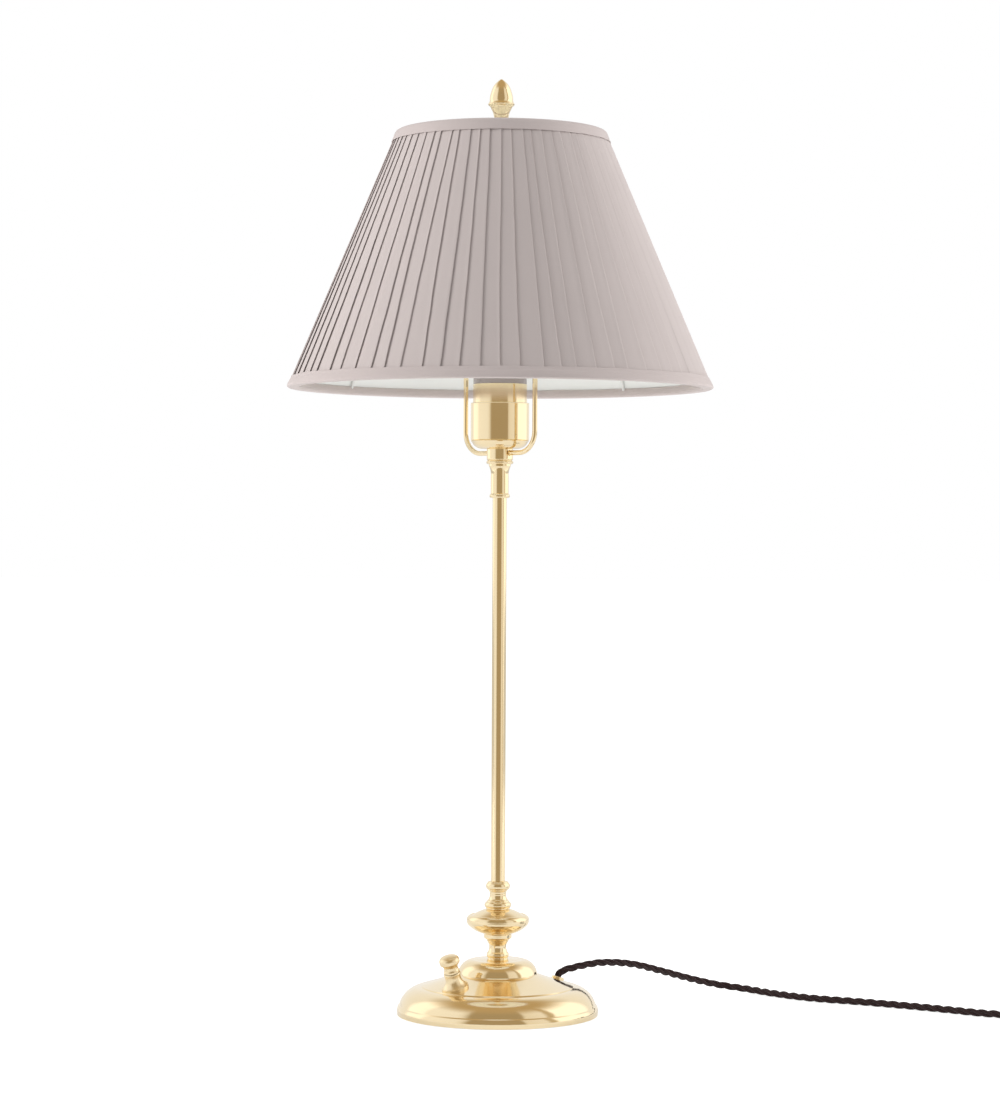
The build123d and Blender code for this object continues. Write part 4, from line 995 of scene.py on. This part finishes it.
class LAMP_OT_pleated_cover(bpy.types.Operator):
    """Knife-pleated cloth, each pleat lapped over the one beside it"""
    bl_idname = "lamp.pleated_cover"
    bl_label = "Pleated cover"

    def execute(self, context):
        shade = context.scene.lamp_shade
        bm = bmesh.new()
        self.fold_ring(bm, shade)
        self.draw_up(bm)
        self.settle(bm, shade)
        wrap_uv(bm, (SHADE_FOOT_RADIUS + SHADE_HEAD_RADIUS) / 2)
        cover = link_mesh("pleated_cloth", bm)
        wall = cover.modifiers.new("thickness", "SOLIDIFY")
        wall.thickness = 0.25 * MM
        wall.offset = -1.0
        smooth(cover, 50)
        place(cover, "shade", "pleat_cloth",
              cloth_finish("pleated_cotton", shade.cloth, threads=2600.0, contrast=0.05,
                           bump=0.00004), "pleated_cover")
        return {"FINISHED"}

    def fold_ring(self, bm, shade):
        """Section of all pleats at the lower edge, from one pleat copied round."""
        depth = shade.depth
        fold = 0.22 * depth
        path = [                # share of the pitch, and how far out
            (-shade.lap, 0.10 * depth), (-0.6 * shade.lap, 0.13 * depth),
            (0.0, 0.26 * depth), (0.28, 0.56 * depth), (0.60, 0.71 * depth),
            (0.78, 0.79 * depth), (0.91, 0.96 * depth), (0.96, depth),
            (0.99, depth - 0.25 * fold),
            (1.0, depth - 0.6 * fold), (0.98, depth - fold), (0.90, depth - 1.35 * fold),
            (1.0 - 0.6 * shade.lap, 0.36 * depth), (1.0 - shade.lap + 0.02, 0.20 * depth),
            (1.0 - shade.lap, 0.10 * depth),
        ]
        pitch = 2 * pi / shade.pleats
        base = SHADE_FOOT_RADIUS - depth
        points = []
        for share, out in path:
            angle = share * pitch
            points.append(((base + out) * cos(angle), (base + out) * sin(angle), SHADE_FOOT))
        verts, edges = chain(bm, points)
        bmesh.ops.spin(bm, geom=verts + edges, cent=(0, 0, 0), axis=(0, 0, 1),
                       angle=pitch * (shade.pleats - 1), steps=shade.pleats - 1,
                       use_duplicate=True)
        bmesh.ops.remove_doubles(bm, verts=bm.verts[:], dist=1e-6)

    def draw_up(self, bm):
        """Draws the section up the cone and cuts it across, so that the folds can wander."""
        cuts = 23
        made = bmesh.ops.extrude_edge_only(bm, edges=bm.edges[:])
        upper = [item for item in made["geom"] if isinstance(item, bmesh.types.BMVert)]
        share = SHADE_HEAD_RADIUS / SHADE_FOOT_RADIUS
        bmesh.ops.scale(bm, vec=(share, share, 1.0), verts=upper)
        bmesh.ops.translate(bm, vec=(0, 0, SHADE_HEAD - SHADE_FOOT), verts=upper)
        halfway = (SHADE_FOOT + SHADE_HEAD) / 2
        climbing = [edge for edge in bm.edges
                    if (edge.verts[0].co.z > halfway) != (edge.verts[1].co.z > halfway)]
        bmesh.ops.subdivide_edges(bm, edges=climbing, cuts=cuts, use_grid_fill=True)
        bmesh.ops.recalc_face_normals(bm, faces=bm.faces[:])

    def settle(self, bm, shade):
        """Uneven pleats: folds run nearly straight, but their spacing and openness differ."""
        pitch = 2 * pi / shade.pleats
        inset = 1.2 * MM        # the cloth ends this far inside the bands' edges
        span = SHADE_HEAD - SHADE_FOOT
        for vert in bm.verts:
            share = (vert.co.z - SHADE_FOOT) / span
            height = SHADE_FOOT + inset + share * (span - 2 * inset)
            circle = cone_radius(vert.co.z)
            out = hypot(vert.co.x, vert.co.y) / circle * SHADE_FOOT_RADIUS - SHADE_FOOT_RADIUS
            angle = atan2(vert.co.y, vert.co.x)
            spot = Vector((cos(angle), sin(angle), 0)) * 12.0
            below = noise.noise(spot)
            above = noise.noise(spot + Vector((0, 0, 5.0)))
            sway = noise.noise(spot * 0.5 + Vector((5, 0, 1.5 * share)))
            crimp = noise.noise(spot * 3.0 + Vector((0, 0, 60.0 * vert.co.z)))
            angle += pitch * (0.42 * (below + share * (above - below)) + 0.12 * sway
                              + 0.03 * crimp)
            keep = 1.0 - 0.30 * share
            open_by = 1.0 + 0.25 * noise.noise(spot * 1.2 + Vector((0, 9, 0.8 * share)))
            radius = cone_radius(height) + min(out * keep * open_by, 0.0)
            vert.co = (radius * cos(angle), radius * sin(angle), height)


class LAMP_OT_shade_bands(bpy.types.Operator):
    """Cloth bands folded over the shade's edges"""
    bl_idname = "lamp.shade_bands"
    bl_label = "Shade bands"

    def execute(self, context):
        self.band("bottom_band", "shade_bottom_trim", SHADE_FOOT, inward=1, height=8.0 * MM,
                  inner_height=6.0 * MM, step=0.24, unrest=0.6)
        self.band("top_band", "shade_top_trim", SHADE_HEAD, inward=-1, height=8.2 * MM,
                  inner_height=5.0 * MM, step=0.06, unrest=0.3)
        return {"FINISHED"}

    def band(self, name, node, edge, inward, height, inner_height, step, unrest):
        """One band, from its outer edge over the shade's edge to its inner edge."""
        lining_low, lining_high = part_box("shade_backing")
        wire_low, wire_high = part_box("shade_bottom_ring" if inward > 0 else "shade_top_ring")
        inner = wire_high.x - (wire_high.z - wire_low.z)    # the ring wire's inner side

        def level(offset):
            """Height at a distance from the shade's edge."""
            return edge + inward * offset

        def wall(offset, out=0.0):
            """Radius outside the pleats there, and a number of millimetres further out."""
            return cone_radius(level(offset)) + (0.1 + out) * MM

        def lining_face(offset):
            """Radius of the lining's inner face there."""
            drop = cone_radius(lining_low.z) - cone_radius(level(offset))
            return lining_high.x - LINING_WALL - drop

        outline = [
            (wall(height), level(height)),
            (wall(height, 0.42), level(height)),
            (wall(0.70 * height, 0.46), level(0.70 * height)),
            (wall(0.64 * height, 0.46 + step), level(0.64 * height)),
            (wall(2.6 * MM, 0.56 + step), level(2.6 * MM)),
            (wall(0.9 * MM, 0.40 + step), level(0.9 * MM)),
            (wall(0.0) - 0.9 * MM, level(0.0)),
            (inner + 0.8 * MM, level(0.0)),
            (inner - 0.5 * MM, level(1.2 * MM)),
            (inner - 0.5 * MM, level(3.4 * MM)),
            (lining_face(inner_height) - 0.6 * MM, level(inner_height)),
            (lining_face(inner_height) - 0.15 * MM, level(inner_height)),
            (inner - 0.1 * MM, level(3.2 * MM)),
            (inner - 0.1 * MM, level(0.75 * MM)),
            (wall(0.0) - 0.7 * MM, level(0.75 * MM)),
        ]
        bm = bmesh.new()
        turn_outline(bm, rounded(outline, 0.7 * MM, 3), 180, closed=True)
        for vert in bm.verts:
            angle = atan2(vert.co.y, vert.co.x)
            around = Vector((cos(angle), sin(angle), vert.co.z * 30))
            share = abs(vert.co.z - edge) / height
            lift = noise.noise(around * 7.0) * 0.5 + noise.noise(around * 16.0) * 0.5
            out = Vector((vert.co.x, vert.co.y, 0)).normalized()
            vert.co += out * lift * unrest * 0.5 * MM * share
            vert.co.z += lift * unrest * share * MM
        wrap_uv(bm, cone_radius(edge))
        piece = link_mesh(name, bm)
        smooth(piece, 60)
        place(piece, "shade", "trim_cloth",
              cloth_finish("band_cotton", bpy.context.scene.lamp_shade.trim, threads=1800.0,
                           contrast=0.07, bump=0.00006), node)


# ================================================================ panel
PIECES = (
    LAMP_OT_stage, LAMP_OT_coil_strap, LAMP_OT_cord, LAMP_OT_plug, LAMP_OT_base, LAMP_OT_column,
    LAMP_OT_harp, LAMP_OT_lampholder, LAMP_OT_finial, LAMP_OT_dimmer, LAMP_OT_wiring,
    LAMP_OT_shade_frame, LAMP_OT_shade_bands, LAMP_OT_pleated_cover,
)
SETTINGS = {
    "lamp_stage": LampStageSettings,
    "lamp_brass": LampBrassSettings,
    "lamp_shade": LampShadeSettings,
    "lamp_cord": LampCordSettings,
}


class LAMP_PT_panel(bpy.types.Panel):
    """Lists the lamp's settings and pieces"""
    bl_idname = "LAMP_PT_panel"
    bl_label = "Candlestick lamp"
    bl_space_type = "VIEW_3D"
    bl_region_type = "UI"
    bl_category = "Lamp"

    def draw(self, context):
        for name, kind in SETTINGS.items():
            box = self.layout.box()
            for entry in kind.__annotations__:
                box.prop(getattr(context.scene, name), entry)
        for piece in PIECES:
            self.layout.operator(piece.bl_idname)


def register():
    for name, kind in SETTINGS.items():
        bpy.utils.register_class(kind)
        setattr(bpy.types.Scene, name, bpy.props.PointerProperty(type=kind))
    for kind in (*PIECES, LAMP_PT_panel):
        bpy.utils.register_class(kind)


def unregister():
    for kind in reversed((*PIECES, LAMP_PT_panel)):
        bpy.utils.unregister_class(kind)
    for name, kind in SETTINGS.items():
        delattr(bpy.types.Scene, name)
        bpy.utils.unregister_class(kind)


def main():
    register()
    for piece in PIECES:
        group, name = piece.bl_idname.split(".")
        getattr(getattr(bpy.ops, group), name)()


if __name__ == "__main__":
    main()
